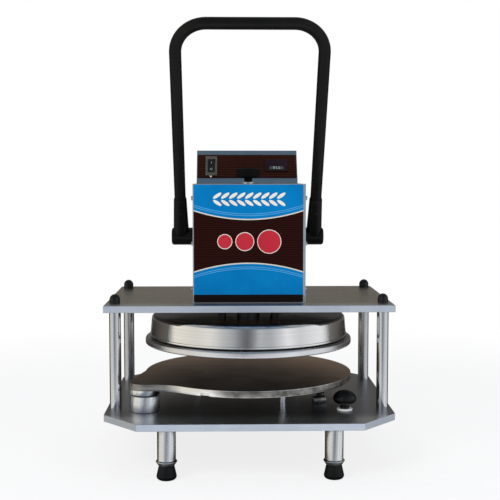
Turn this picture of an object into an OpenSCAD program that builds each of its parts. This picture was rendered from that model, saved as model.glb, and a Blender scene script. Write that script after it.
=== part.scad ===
// Manual dough press: a lever drives a heated platen down on a round plate that swings out.
// The origin is on the floor under the middle of the base plate. X points to the right,
// Y to the back and Z up. All sizes are in millimetres.

/* [Frame] */
// Width of the base plate and of the top plate
plate_w = 541; // [532:1:600]
// Depth of the base plate
base_d = 502; // [490:1:540]
// Depth of the top plate
top_d = 338; // [330:1:370]
// Thickness of the base plate and of the top plate
plate_t = 12.7; // [10:0.1:16]
// Width cut off each corner of the base plate
corner_w = 67; // [40:1:75]
// Depth cut off each corner of the base plate
corner_d = 77; // [50:1:85]
// Diameter of the four posts
post_d = 22.2; // [18:0.1:25]
// Distance of the post axes from the sides of the plates
post_inset = 17; // [14:0.5:20]
// Spacing of the posts from front to back
post_span_y = 265; // [255:1:275]
// How far the posts stand behind the middle of the plates
post_set_back = 8; // [0:1:14]
// Free length of the posts between the plates
post_h = 188.8; // [186:0.1:200]
// Diameter of the legs
leg_d = 34; // [28:0.5:40]
// Length of the legs
leg_h = 69.6; // [50:0.1:100]
// Height of the rubber feet
foot_h = 25.6; // [20:0.1:35]
// Spacing of the legs across the press
leg_span_x = 304; // [260:1:340]
// Distance of the leg axes from the front and back edges of the base plate
leg_inset = 30; // [25:1:45]

/* [Pressing plates] */
// Diameter of the upper platen and of the swing plate
platen_d = 406.4; // [380:0.1:410]
// Thickness of the upper platen
platen_t = 12.7; // [9:0.1:14]
// Thickness of the swing plate
swing_t = 12.7; // [12:0.1:16]
// Height of the swing plate's underside above the base plate
swing_lift = 42.8; // [42:0.1:46]
// Opening between the swing plate and the upper platen at rest
press_gap = 58; // [57:0.1:60]
// How far the pressing axis lies in front of the middle of the plates
press_forward = 30; // [24:1:36]
// Distance of the swing pivot from the line of the left posts, towards the middle
hub_in = 57; // [54:0.5:63.5]
// Distance of the swing pivot in front of the pressing axis
hub_front = 111; // [106:0.5:116]
// Diameter of the swing pivot's post and boss
hub_d = 55; // [48:0.5:58]
// Diameter of the swing pivot's pin
pin_d = 25; // [18:0.5:30]
// Diameter of the heater cover at the foot of its wall
drum_d = 386.4; // [366:0.2:388]
// Height of the heater cover
drum_h = 41; // [37:0.5:42]

/* [Drive] */
// Tooth module of the pinion and the rack
gear_module = 4; // [3.9:0.02:4.1]
// Number of teeth on the pinion
gear_teeth = 22; // [21:1:22]
// Face width of the pinion
gear_w = 24; // [18:0.5:28]
// Turn of the handle from rest to the end of the press, in degrees
handle_travel = 70; // [60:1:70]
// Diameter of the ram
ram_d = 45; // [43:0.5:48]
// Distance of the rack's pitch line behind the ram's axis
rack_offset = 14; // [13:0.1:15]
// Height of the handle's shaft above the top plate
pivot_h = 117.7; // [114:0.1:120]
// Diameter of the handle's shaft
shaft_d = 25; // [20:0.5:28]
// Distance of the guide rods from the ram's axis
rod_offset = 52; // [50:0.5:56]
// Diameter of the guide rods
rod_d = 16; // [12:0.5:18]

/* [Handle] */
// Distance from the shaft to the middle of the grip bar
handle_reach = 459.6; // [400:0.1:520]
// Spacing of the handle's two arms
handle_span = 268.8; // [262:0.1:290]
// Forward lean of the handle at rest, in degrees from upright
handle_lean = 32; // [20:1:40]
// Diameter of the handle's tube
tube_d = 22.2; // [20:0.1:23]
// Wall of the handle's tube
tube_wall = 2.5; // [1.5:0.1:4]
// Bend radius of the handle's tube, at its middle line
bend_r = 56; // [40:1:80]
// Diameter of the arm hubs on the shaft
arm_hub_d = 35; // [33:0.5:40]
// How far each arm hub reaches outwards from the middle of its arm
arm_hub_out = 19.4; // [17:0.1:30]
// Length of the arm sockets from the shaft's axis
socket_l = 92; // [80:0.5:110]

/* [Head] */
// Distance from the middle of each arm in to the side of the head housing
head_side_gap = 29.9; // [28:0.1:31.5]
// Height of the head housing
head_h = 224.6; // [222:0.1:240]
// Distance of the front cover behind the front edge of the top plate
head_set_back = 40.7; // [30:0.1:50]
// Depth of the head housing
head_d = 278; // [270:1:284]
// Thickness of the sheet-metal housings
sheet_t = 1.5; // [1:0.1:2]
// Height of the control console above the head housing
console_h = 68.6; // [64:0.1:80]
// Depth of the console at its foot
console_d = 83; // [78:1:95]
// Backward lean of the console's face, in degrees from upright
console_lean = 32; // [28:0.1:36]

/* [Knobs] */
// Diameter of the plate rest's knob
rest_knob_d = 44.4; // [38:0.1:50]
// Height of the plate rest's knob head
rest_knob_h = 26.5; // [20:0.5:30]
// Diameter of the thickness knob
thick_knob_d = 48; // [40:0.5:60]
// Height of the thickness knob's head
thick_knob_h = 20; // [15:0.5:26]

/* [Hidden] */
$fn = 64;

// Clearances and overruns
run_gap = 0.05;
seat_gap = 0.3;
cut_over = 1;

// Heights of the stack, from the floor up
base_z0 = foot_h + leg_h;
base_z1 = base_z0 + plate_t;
top_z0 = base_z1 + post_h;
top_z1 = top_z0 + plate_t;
swing_z0 = base_z1 + swing_lift;
swing_z1 = swing_z0 + swing_t;
platen_z0 = swing_z1 + press_gap;
platen_z1 = platen_z0 + platen_t;
head_z1 = top_z1 + head_h;
pivot_z = top_z1 + pivot_h;

// Places in plan
post_x = plate_w / 2 - post_inset;
post_ys = [post_set_back - post_span_y / 2, post_set_back + post_span_y / 2];
leg_y = base_d / 2 - leg_inset;
press_y = -press_forward;
hub_left = post_x - hub_in;
hub_x = -hub_left;
hub_y = press_y - hub_front;
head_w = handle_span - 2 * head_side_gap;
head_y0 = head_set_back - top_d / 2;
head_y1 = head_y0 + head_d;

// Drive: the pinion's pitch circle rolls on the rack's pitch line
pitch_r = gear_module * gear_teeth / 2;
pivot_y = press_y + rack_offset + pitch_r;
stroke = pitch_r * handle_travel * PI / 180;
rack_pitch = PI * gear_module;
pressure_angle = 20;
backlash = 0.12;
dedendum_share = 1.25;
dedendum = gear_module * dedendum_share;
base_r = pitch_r * cos(pressure_angle);
gear_bore_hub_d = 52;
gear_hub_l = 44;
flank_steps = 5;
rack_over = 32;
rack_below = 3;

// Frame fasteners
stud_d = 14;
cap_nut_d = 20;
cap_nut_h = 17.5;
cap_nut_skirt = 7;
post_nut_d = 24;
post_nut_h = 11;
collar_d = 39.5;
collar_h = 11;
collar_edge = 2.5;
foot_top_d = 28.5;
foot_d = 37;
foot_round = 7;
foot_bolt_d = 10;
foot_bolt_l = 18;

// Swing pivot, its rests and its stop
pin_depth = 9;
arm_end_d = 60;
arm_fillet_r = 105;
hub_groove = 2.2;
hub_boss_h = 10;
hub_chamfer = 1.2;
washer_d = 48;
rest_stud_d = 12;
rest_stud_right = 63.5;
rest_stud_front = 98;
rest_stud_back_x = 100;
rest_stud_back_y = 105;
stop_right = 103;
stop_w = 42;
stop_t = 12.5;
stop_front = 72;
stop_h = 20.7;
stop_pin_right = 136.5;
stop_pin_d = 10;
stop_pin_h = 33;
stop_pin_sink = 6;
bar_l = 27;
bar_d = 16;
bar_flat = 1.5;
bar_turn = 22;
bar_nose = 3;
notch_w = 17;
notch_d = 6;
notch_h = 5.5;
notch_turn = -114;

// Plate rest: a mushroom knob on a stud in the base plate
rest_knob_right = 180;
rest_knob_front = 113;
rest_under = 5.1;
rest_stem_d = 17;
rest_bolt_d = 12;
rest_bolt_nut_d = 20;
rest_bolt_nut_h = 8;
rest_washer_d = 29.4;
rest_washer_t = 3;
rest_knob_widest_share = 0.42;

// Heated platen
platen_round = 4;
platen_round_low = 3;
gasket_t = 2.5;
gasket_in = 8;
gasket_w = 14;
drum_wall = 1.5;
drum_taper = 2.5;
drum_lip = 1.5;
drum_lip_h = 4.5;
drum_lip_round = 1.2;
drum_round = 7.5;
flange_d = 136;
flange_t = 12;
heater_r = 130;
heater_tube_d = 10;
heater_turn = 335;
heater_post_d = 6;
heater_post_h = 16;
board_in_d = 150;
insul_gap = 1;
ram_hole_gap = 1.5;
flange_screw_d = 10;
flange_screw_h = 6;
flange_screw_pcd = 104;
flange_screw_count = 4;

// Ram, its bush and the guide rods
ram_bush_wall = 7.5;
ram_bush_below = 5;
ram_bush_above = 52;
ram_bush_flange_d = 72;
ram_bush_flange_t = 5;
rod_bush_wall = 4;
rod_bush_flange_d = 28;
rod_bush_flange_t = 4;
rod_bush_below = 4;
spring_l = 120;
spring_wire_d = 3;
spring_mean_r = 12.5;
spring_turns = 9;
spring_rings = 12;
rod_collar_d = 32;
rod_collar_t = 9;
rod_nose = 4;

// Wound wire: sides of its round section
tube_sides = 6;

// Bearing cheeks of the handle's shaft
cheek_t = 12;
cheek_side_gap = 2;
cheek_x0 = head_w / 2 - sheet_t - cheek_side_gap - cheek_t;
cheek_foot_w = 126;
cheek_foot_d = 26;
cheek_foot_t = 12;
cheek_head_d = 74;
shaft_bush_wall = 3.5;
shaft_bush_flange_t = 3;
shaft_bush_flange_d = 42;
cheek_screw_d = 14;
cheek_screw_h = 8;

// Handle arms
arm_hub_gap = 1.5;
arm_hub_round = 5;
arm_hub_wall = 4;
socket_foot_d = 30.5;
socket_top_d = 25.4;
socket_rim = 3;
tube_seat = 34;
set_screw_d = 5;
set_screw_h = 1.6;
set_screw_along = 63.5;

// Head housing and front cover
cover_flange = 12;
cover_flange_gap = 0.3;
cover_x = head_w / 2 + cover_flange_gap + sheet_t;
shell_flange = 14;
shaft_hole_d = 39;
cable_hole_d = 20;
inlet_w = 48;
inlet_h = 28;
inlet_body_d = 26;
inlet_lip = 4;
inlet_lip_t = 3;
inlet_z = 46;
inlet_x = 50;
socket_w = 26;
socket_h = 17;
socket_d = 18;
cover_screw_d = 8;
cover_screw_h = 3;
cover_screw_zs_share = [0.12, 0.5, 0.88];

// Thickness knob on the ram's axis
knob_stem_d = 16;
knob_rise = 10.5;
knob_round = 5;
knob_bush_d = 26;
knob_bush_t = 3;
knob_bush_body_d = 22;
knob_bush_depth = 14;
rod_thin_d = 8;
rod_bore_gap = 1;
rod_engage = 24;
rod_bore_below = 9;

// Console: its face holds a panel, a rocker switch and a display
panel_foot = 13;
panel_l = 56.5;
panel_t = 1.5;
panel_side = 1.5;
window_in = 6;
switch_in = 30.2;
switch_x = switch_in - head_w / 2;
switch_w = 24;
switch_l = 47;
switch_along = 41;
switch_rise = 2;
switch_depth = 24;
rocker_w = 13.5;
rocker_l = 30;
rocker_gap = 0.7;
rocker_tilt = 8;
rocker_depth = 11;
rocker_pivot_depth = 4;
rocker_well = 16;
rocker_pin_d = 3;
display_in = 43.2;
display_x = head_w / 2 - display_in;
display_w = 47;
display_l = 29;
display_along = 42;
display_rise = 2.5;
display_depth = 22;
display_back_in = 3;
lens_w = 29;
lens_l = 7;
lens_drop = 6;
lens_sink = 0.8;
board_w = 130;
board_d = 44;
board_t = 1.6;
board_rise = 8;
board_post_d = 7;
board_back = 12;
console_y0 = head_y1 - console_d;

// The names of all pieces

// General shapes

// A box from its low corner, given as X, Y and Z spans
module span_box(x0, x1, y0, y1, z0, z1) {
    translate([x0, y0, z0]) cube([x1 - x0, y1 - y0, z1 - z0]);
}

// An upright cylinder between two heights
module rod(d, z0, z1) {
    translate([0, 0, z0]) cylinder(d = d, h = z1 - z0);
}

// A cylinder along X between two places
module rod_x(d, x0, x1) {
    translate([x0, 0, 0]) rotate([0, 90, 0]) cylinder(d = d, h = x1 - x0);
}

// A turned shape from an outline of radius and height
module turned(points) {
    rotate_extrude() polygon(points);
}

// Points of a quarter round, from angle a0 to a1 about a centre
function arc(centre, r, a0, a1, steps) =
    [for (i = [0:steps]) let (a = a0 + (a1 - a0) * i / steps) centre + r * [cos(a), sin(a)]];

// Copies on the four posts
module at_posts() {
    for (sx = [-1, 1]) for (y = post_ys) translate([sx * post_x, y, 0]) children();
}

// Copies mirrored to the left and right
module both_sides() {
    for (sx = [0, 1]) mirror([sx, 0, 0]) children();
}

// Corner points of a coiled wire's rings, from the first ring to the last
function coil_points(mean_r, wire_r, rise, turns, rings) =
    [for (i = [0:turns * rings]) for (j = [0:tube_sides - 1])
        let (a = 360 * i / rings, b = 360 * j / tube_sides, r = mean_r + wire_r * cos(b))
        [r * cos(a), r * sin(a), wire_r + rise * i / (turns * rings) + wire_r * sin(b)]];

// Triangles that join the rings of a coiled wire and close its two ends
function coil_faces(count) = concat(
    [for (i = [0:count - 1]) for (j = [0:tube_sides - 1])
        let (a = i * tube_sides + j, b = i * tube_sides + (j + 1) % tube_sides)
        [a, b, a + tube_sides]],
    [for (i = [0:count - 1]) for (j = [0:tube_sides - 1])
        let (a = i * tube_sides + j, b = i * tube_sides + (j + 1) % tube_sides)
        [b, b + tube_sides, a + tube_sides]],
    [for (j = [1:tube_sides - 2]) [0, j + 1, j]],
    [for (j = [1:tube_sides - 2])
        let (last = count * tube_sides) [last, last + j, last + j + 1]]);

// A coiled wire that stands on its lowest point
module coil(mean_r, wire_d, height, turns, rings) {
    polyhedron(coil_points(mean_r, wire_d / 2, height - wire_d, turns, rings),
        coil_faces(turns * rings));
}

// Frame

module base_plate() {
    x = plate_w / 2;
    y = base_d / 2;
    color("silver") difference() {
        translate([0, 0, base_z0]) linear_extrude(plate_t) polygon([
            [x, corner_d - y], [x, y - corner_d], [x - corner_w, y], [corner_w - x, y],
            [-x, y - corner_d], [-x, corner_d - y], [corner_w - x, -y], [x - corner_w, -y]]);
        at_posts() rod(stud_d + 2 * run_gap, base_z0 - cut_over, base_z1 + cut_over);
        rest_knob_place() rod(rest_bolt_d + 2 * run_gap, base_z0 - cut_over, base_z1 + cut_over);
    }
}

module top_plate() {
    color("silver") difference() {
        span_box(-plate_w / 2, plate_w / 2, -top_d / 2, top_d / 2, top_z0, top_z1);
        at_posts() rod(stud_d + 2 * run_gap, top_z0 - cut_over, top_z1 + cut_over);
        translate([0, press_y, 0]) {
            rod(ram_d + 2 * ram_bush_wall, top_z0 - cut_over, top_z1 + cut_over);
            both_sides() translate([rod_offset, 0, 0])
                rod(rod_d + 2 * rod_bush_wall, top_z0 - cut_over, top_z1 + cut_over);
        }
    }
}

// One post with a thinner threaded end through each plate
module post(sx, iy) {
    color("gainsboro") translate([sx * post_x, post_ys[iy], 0]) {
        rod(post_d, base_z1, top_z0);
        rod(stud_d, base_z0 - post_nut_h, base_z1);
        rod(stud_d, top_z0, top_z1 + cap_nut_skirt);
    }
}

module post_front_left() { post(-1, 0); }
module post_front_right() { post(1, 0); }
module post_back_left() { post(-1, 1); }
module post_back_right() { post(1, 1); }

// Domed caps that screw on the posts' upper ends
module cap_nuts() {
    r = cap_nut_d / 2;
    rise = cap_nut_h - cap_nut_skirt;
    in_r = stud_d / 2 + run_gap;
    color("black") at_posts() translate([0, 0, top_z1]) turned(concat(
        [[in_r, 0], [r, 0]],
        [for (p = arc([0, 0], 1, 0, 90, 10)) [r * p[0], cap_nut_skirt + rise * p[1]]],
        [[0, cap_nut_skirt + run_gap], [in_r, cap_nut_skirt + run_gap]]));
}

// Hexagon nuts under the base plate
module post_nuts() {
    color("silver") at_posts() difference() {
        translate([0, 0, base_z0 - post_nut_h]) cylinder(d = post_nut_d, h = post_nut_h, $fn = 6);
        rod(stud_d + 2 * run_gap, base_z0 - post_nut_h - cut_over, base_z0 + cut_over);
    }
}

// One leg with a flared collar at its foot and a blind hole for the foot's bolt
module leg(sx, sy) {
    color("silver") translate([sx * leg_span_x / 2, sy * leg_y, 0]) difference() {
        turned([[0, foot_h], [foot_top_d / 2, foot_h],
            [collar_d / 2, foot_h + collar_h - collar_edge],
            [leg_d / 2, foot_h + collar_h], [leg_d / 2, base_z0], [0, base_z0]]);
        rod(foot_bolt_d + 2 * run_gap, foot_h - cut_over, foot_h + foot_bolt_l + cut_over);
    }
}

module leg_front_left() { leg(-1, -1); }
module leg_front_right() { leg(1, -1); }
module leg_back_left() { leg(-1, 1); }
module leg_back_right() { leg(1, 1); }

// One rubber foot with a rounded tread and its moulded-in bolt
module foot(sx, sy) {
    r = foot_d / 2;
    color("black") translate([sx * leg_span_x / 2, sy * leg_y, 0]) turned(concat(
        [[0, 0], [r - foot_round, 0]],
        arc([r - foot_round, foot_round], foot_round, -90, 0, 6),
        [[foot_top_d / 2, foot_h], [foot_bolt_d / 2, foot_h],
         [foot_bolt_d / 2, foot_h + foot_bolt_l], [0, foot_h + foot_bolt_l]]));
}

module foot_front_left() { foot(-1, -1); }
module foot_front_right() { foot(1, -1); }
module foot_back_left() { foot(-1, 1); }
module foot_back_right() { foot(1, 1); }

// Swing plate, its pivot, its rests and its stop

// The fixed post of the swing pivot, with the pin that the plate turns on
module hub_post() {
    z1 = swing_z0 - hub_boss_h - hub_groove;
    pin_top = swing_z0 + pin_depth - cut_over;
    color("gainsboro") translate([hub_x, hub_y, 0]) turned([
        [0, base_z1], [hub_d / 2 - hub_chamfer, base_z1], [hub_d / 2, base_z1 + hub_chamfer],
        [hub_d / 2, z1], [pin_d / 2, z1], [pin_d / 2, pin_top], [0, pin_top]]);
}

module thrust_washer() {
    z1 = swing_z0 - hub_boss_h;
    color("dimgray") translate([hub_x, hub_y, 0]) difference() {
        rod(washer_d, z1 - hub_groove, z1);
        rod(pin_d + 2 * run_gap, z1 - hub_groove - cut_over, z1 + cut_over);
    }
}

// Three studs just under the swing plate, which take the load of the press
module rest_studs() {
    color("gainsboro") for (p = [[rest_stud_right, -rest_stud_front],
            [rest_stud_back_x, rest_stud_back_y], [-rest_stud_back_x, rest_stud_back_y]])
        translate([p[0], press_y + p[1], 0]) rod(rest_stud_d, base_z1, swing_z0 - seat_gap);
}

// Plan of the swing plate: the disc, the rounded arm end and the blend on its front side
module swing_outline() {
    disc_r = platen_d / 2;
    end_r = arm_end_d / 2;
    hub = [-hub_left, -hub_front];
    reach = norm(hub);
    to_disc = disc_r + arm_fillet_r;
    to_end = end_r + arm_fillet_r;
    along = (reach * reach + to_disc * to_disc - to_end * to_end) / (2 * reach);
    aside = sqrt(to_disc * to_disc - along * along);
    dir = hub / reach;
    blend = along * dir + aside * [-dir[1], dir[0]];
    circle(r = disc_r);
    translate(hub) circle(r = end_r);
    difference() {
        polygon([[0, 0], hub, blend]);
        translate(blend) circle(r = arm_fillet_r);
    }
    polygon([[0, 0], [-disc_r, 0], hub - [end_r, 0], hub]);
}

module swing_plate() {
    color("rosybrown") translate([0, press_y, 0]) difference() {
        union() {
            translate([0, 0, swing_z0]) linear_extrude(swing_t) swing_outline();
            translate([-hub_left, -hub_front, 0]) rod(hub_d, swing_z0 - hub_boss_h, swing_z0);
        }
        translate([-hub_left, -hub_front, 0])
            rod(pin_d + 2 * run_gap, swing_z0 - hub_boss_h - cut_over, swing_z0 + pin_depth);
        rotate([0, 0, notch_turn]) span_box(platen_d / 2 - notch_d, platen_d / 2 + cut_over,
            -notch_w / 2, notch_w / 2, swing_z0 - cut_over, swing_z0 + notch_h);
    }
}

// The stop under the swing plate, which meets the pin on the base plate
module plate_stop() {
    color("gray") span_box(stop_right, stop_right + stop_w, press_y - stop_front,
        press_y - stop_front + stop_t, swing_z0 - stop_h, swing_z0);
}

// The place of the pin that the stop meets
module stop_pin_place() {
    translate([stop_pin_right, press_y - stop_front + stop_t + seat_gap + stop_pin_d / 2, base_z1])
        children();
}

// A low round bar with a flat underside and a rounded edge at each end, which holds the pin
module stop_block() {
    r = bar_d / 2;
    half = bar_l / 2;
    color("gainsboro") stop_pin_place() difference() {
        rotate([0, 0, bar_turn]) translate([0, 0, r - bar_flat]) rotate([0, 90, 0]) turned(concat(
            [[0, -half]], arc([r - bar_nose, bar_nose - half], bar_nose, -90, 0, 4),
            arc([r - bar_nose, half - bar_nose], bar_nose, 0, 90, 4), [[0, half]]));
        span_box(-bar_l, bar_l, -bar_l, bar_l, -bar_d, 0);
        rod(stop_pin_d + 2 * run_gap, bar_d - bar_flat - stop_pin_sink, bar_d + cut_over);
    }
}

module stop_pin() {
    color("dimgray") stop_pin_place() rod(stop_pin_d, bar_d - bar_flat - stop_pin_sink, stop_pin_h);
}

module rest_knob_place() {
    translate([rest_knob_right, press_y - rest_knob_front, 0]) children();
}

// A mushroom knob on a stud, which turns in the base plate and is held by a nut below it
module rest_knob() {
    r = rest_knob_d / 2;
    stem_r = rest_stem_d / 2;
    z2 = swing_z0 - rest_under;
    z1 = z2 - rest_knob_h;
    zw = z1 + rest_knob_h * rest_knob_widest_share;
    z0 = base_z1 + rest_washer_t;
    color("black") rest_knob_place() {
        turned(concat(
            [[0, z0], [stem_r, z0]],
            [for (p = arc([0, 0], 1, -90, 0, 8))
                [stem_r + (r - stem_r) * p[0], zw + (zw - z1) * p[1]]],
            [for (p = arc([0, 0], 1, 0, 90, 10)) [r * p[0], zw + (z2 - zw) * p[1]]]));
        rod(rest_bolt_d, base_z0 - rest_bolt_nut_h, z0);
        translate([0, 0, base_z0 - seat_gap - rest_bolt_nut_h])
            cylinder(d = rest_bolt_nut_d, h = rest_bolt_nut_h, $fn = 6);
    }
}

module knob_washer() {
    color("white") rest_knob_place() difference() {
        rod(rest_washer_d, base_z1, base_z1 + rest_washer_t - run_gap);
        rod(rest_bolt_d + 2 * run_gap, base_z1 - cut_over, base_z1 + rest_washer_t + cut_over);
    }
}

// Heated platen

// A round plate with a rounded rim
module platen() {
    r = platen_d / 2;
    color("silver") translate([0, press_y, 0]) turned(concat(
        [[0, platen_z0]],
        arc([r - platen_round_low, platen_z0 + platen_round_low], platen_round_low, -90, 0, 5),
        arc([r - platen_round, platen_z1 - platen_round], platen_round, 0, 90, 6),
        [[0, platen_z1]]));
}

// A tubular heating element that lies on the platen, with its two terminal posts
module heater_ring() {
    color("dimgray") translate([0, press_y, platen_z1 + heater_tube_d / 2])
        rotate([0, 0, 90 + (360 - heater_turn) / 2]) {
            rotate_extrude(angle = heater_turn)
                translate([heater_r, 0]) circle(d = heater_tube_d);
            for (a = [0, heater_turn]) rotate([0, 0, a]) translate([heater_r, 0, 0]) {
                sphere(d = heater_tube_d);
                rod(heater_post_d, 0, heater_post_h);
            }
        }
}

// A rigid insulation board that lies on the element, with its middle open for the flange
module insulation() {
    z0 = platen_z1 + heater_tube_d;
    z1 = platen_z1 + gasket_t + drum_h - drum_wall - insul_gap;
    color("lemonchiffon") translate([0, press_y, 0]) difference() {
        rod(drum_d - 2 * (drum_taper + drum_wall + drum_round), z0, z1);
        rod(board_in_d, z0 - cut_over, z1 + cut_over);
        rotate([0, 0, 90 + (360 - heater_turn) / 2]) for (a = [0, heater_turn])
            rotate([0, 0, a]) translate([heater_r, 0, 0])
                rod(heater_tube_d + 2 * insul_gap, z0 - cut_over, z1 + cut_over);
    }
}

// The dark ring between the platen and the heater cover
module gasket_ring() {
    r1 = drum_d / 2 - gasket_in;
    color("black") translate([0, press_y, 0]) difference() {
        rod(2 * r1, platen_z1, platen_z1 + gasket_t);
        rod(2 * (r1 - gasket_w), platen_z1 - cut_over, platen_z1 + gasket_t + cut_over);
    }
}

// A spun pan turned over the element: tapered wall, rounded edge and a rolled foot
module heater_cover() {
    z0 = platen_z1 + gasket_t;
    z1 = z0 + drum_h;
    r0 = drum_d / 2;
    r1 = r0 - drum_taper;
    in_foot = r0 - gasket_in - gasket_w;
    lip_r = r0 + drum_lip - drum_lip_round;
    color("silver") translate([0, press_y, 0]) difference() {
        turned(concat(
            [[in_foot, z0]],
            arc([lip_r, z0 + drum_lip_round], drum_lip_round, -90, 0, 3),
            arc([lip_r, z0 + drum_lip_h - drum_lip_round], drum_lip_round, 0, 90, 3),
            [[r0, z0 + drum_lip_h]],
            arc([r1 - drum_round, z1 - drum_round], drum_round, 0, 90, 8),
            [[0, z1], [0, z1 - drum_wall]],
            arc([r1 - drum_round, z1 - drum_round], drum_round - drum_wall, 90, 0, 8),
            [[r0 - drum_wall, z0 + drum_wall], [in_foot, z0 + drum_wall]]));
        rod(ram_d + 2 * ram_hole_gap, z0, z1 + cut_over);
        both_sides() translate([rod_offset, 0, 0]) rod(rod_d + 2 * ram_hole_gap, z0, z1 + cut_over);
    }
}

// The ram: a flange on the platen, a round bar and the rack that is cut in its back
module ram() {
    z_top = pivot_z + stroke + rack_over;
    tip_y = rack_offset + gear_module;
    root_y = rack_offset - dedendum;
    half_tip = rack_pitch / 4 + gear_module * tan(pressure_angle) + backlash;
    half_root = rack_pitch / 4 - dedendum * tan(pressure_angle) + backlash;
    half_over = half_tip + ram_d / 2 * tan(pressure_angle);
    flat_z0 = pivot_z - rack_below * rack_pitch - half_over;
    bore_z0 = pivot_z + stroke + rack_over - rod_engage - stroke - rod_bore_below;
    color("lightgray") translate([0, press_y, 0]) difference() {
        union() {
            rod(flange_d, platen_z1, platen_z1 + flange_t);
            rod(ram_d, platen_z1, z_top);
        }
        span_box(-ram_d, ram_d, tip_y, ram_d, flat_z0, z_top + cut_over);
        for (k = [-rack_below:ceil((stroke + rack_over) / rack_pitch)])
            translate([-ram_d, 0, pivot_z + k * rack_pitch]) rotate([90, 0, 90])
                linear_extrude(2 * ram_d) polygon([[root_y, -half_root], [tip_y, -half_tip],
                    [tip_y + ram_d / 2, -half_over], [tip_y + ram_d / 2, half_over],
                    [tip_y, half_tip], [root_y, half_root]]);
        rod(rod_thin_d + 2 * rod_bore_gap, bore_z0, z_top + cut_over);
    }
}

module flange_screws() {
    color("dimgray") translate([0, press_y, platen_z1 + flange_t])
        for (i = [0:flange_screw_count - 1])
            rotate([0, 0, 360 / flange_screw_count * (i + 1 / 2)])
                translate([flange_screw_pcd / 2, 0, 0])
                    cylinder(d = flange_screw_d, h = flange_screw_h);
}

// A guide rod that stands on the ram's flange, with a collar for its spring
module guide_rod(sx) {
    collar_z = top_z1 + rod_bush_flange_t + spring_l + seat_gap;
    color("gainsboro") translate([sx * rod_offset, press_y, 0]) {
        rod(rod_d, platen_z1 + flange_t, collar_z + rod_collar_t + rod_nose);
        rod(rod_collar_d, collar_z, collar_z + rod_collar_t);
    }
}

module guide_rod_left() { guide_rod(-1); }
module guide_rod_right() { guide_rod(1); }

// Springs that push the rods' collars up and so lift the platen
module return_springs() {
    color("gray") both_sides()
        translate([rod_offset, press_y, top_z1 + rod_bush_flange_t + seat_gap / 2])
            coil(spring_mean_r, spring_wire_d, spring_l, spring_turns, spring_rings);
}

// Head: bushes, bearing cheeks, shaft and pinion

// A plain bush with a flange that sits on the top plate
module plate_bush(inner_d, wall, below, above, flange_d, flange_t) {
    difference() {
        union() {
            rod(inner_d + 2 * wall - 2 * run_gap, top_z0 - below, top_z1 + above);
            rod(flange_d, top_z1, top_z1 + flange_t);
        }
        rod(inner_d + 2 * run_gap, top_z0 - below - cut_over, top_z1 + above + cut_over);
    }
}

module ram_bush() {
    color("peru") translate([0, press_y, 0]) plate_bush(ram_d, ram_bush_wall, ram_bush_below,
        ram_bush_above, ram_bush_flange_d, ram_bush_flange_t);
}

module guide_bushes() {
    color("peru") both_sides() translate([rod_offset, press_y, 0]) plate_bush(rod_d, rod_bush_wall,
        rod_bush_below, rod_bush_flange_t, rod_bush_flange_d, rod_bush_flange_t);
}

// A bearing plate with a broad foot, tapering to a round head about the shaft
module cheek() {
    half = cheek_foot_w / 2;
    color("slategray") translate([0, pivot_y, 0]) difference() {
        union() {
            translate([cheek_x0, 0, 0]) rotate([90, 0, 90]) linear_extrude(cheek_t) {
                translate([0, pivot_z]) circle(d = cheek_head_d);
                polygon([[-half, top_z1], [half, top_z1], [cheek_head_d / 2, pivot_z],
                    [-cheek_head_d / 2, pivot_z]]);
            }
            span_box(cheek_x0 + cheek_t - cheek_foot_d, cheek_x0, cheek_head_d / 2 - half / 2,
                half, top_z1, top_z1 + cheek_foot_t);
        }
        translate([0, 0, pivot_z]) rod_x(shaft_d + 2 * shaft_bush_wall, cheek_x0 - cut_over,
            cheek_x0 + cheek_t + cut_over);
    }
}

module cheek_left() { mirror([1, 0, 0]) cheek(); }
module cheek_right() { cheek(); }

module cheek_screws() {
    x = cheek_x0 - (cheek_foot_d - cheek_t) / 2;
    color("dimgray") both_sides() for (y = [cheek_head_d / 2, cheek_foot_w / 2 - cheek_screw_d / 2])
        translate([x, pivot_y + y, top_z1 + cheek_foot_t])
            cylinder(d = cheek_screw_d, h = cheek_screw_h, $fn = 6);
}

// Flanged bushes in the cheeks, with their flanges inside
module shaft_bushes() {
    color("peru") both_sides() translate([0, pivot_y, pivot_z]) difference() {
        union() {
            rod_x(shaft_d + 2 * shaft_bush_wall - 2 * run_gap, cheek_x0, cheek_x0 + cheek_t);
            rod_x(shaft_bush_flange_d, cheek_x0 - shaft_bush_flange_t, cheek_x0);
        }
        rod_x(shaft_d + 2 * run_gap, cheek_x0 - shaft_bush_flange_t - cut_over,
            cheek_x0 + cheek_t + cut_over);
    }
}

module cross_shaft() {
    half = handle_span / 2 + arm_hub_out - arm_hub_wall - run_gap;
    color("lightgray") translate([0, pivot_y, pivot_z]) rod_x(shaft_d, -half, half);
}

// Half the angle of a tooth at radius r, by the involute of the base circle
function involute(a) = tan(a) * 180 / PI - a;
function tooth_half(r) = 90 / gear_teeth - backlash / pitch_r * 90 / PI
    + involute(pressure_angle) - involute(acos(min(1, base_r / r)));

// One flank from the root to the tip, as radius and half angle
tip_r = pitch_r + gear_module;
root_r = pitch_r - dedendum;
flank = concat([[root_r, tooth_half(base_r)]],
    [for (i = [0:flank_steps]) let (r = base_r + (tip_r - base_r) * i / flank_steps)
        [r, tooth_half(r)]]);
flank_last = len(flank) - 1;
gear_points = [for (t = [0:gear_teeth - 1]) for (i = [0:2 * flank_last + 1])
    let (up = i <= flank_last, p = flank[up ? i : 2 * flank_last + 1 - i],
        a = 360 * t / gear_teeth + (up ? -p[1] : p[1])) p[0] * [cos(a), sin(a)]];

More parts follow.
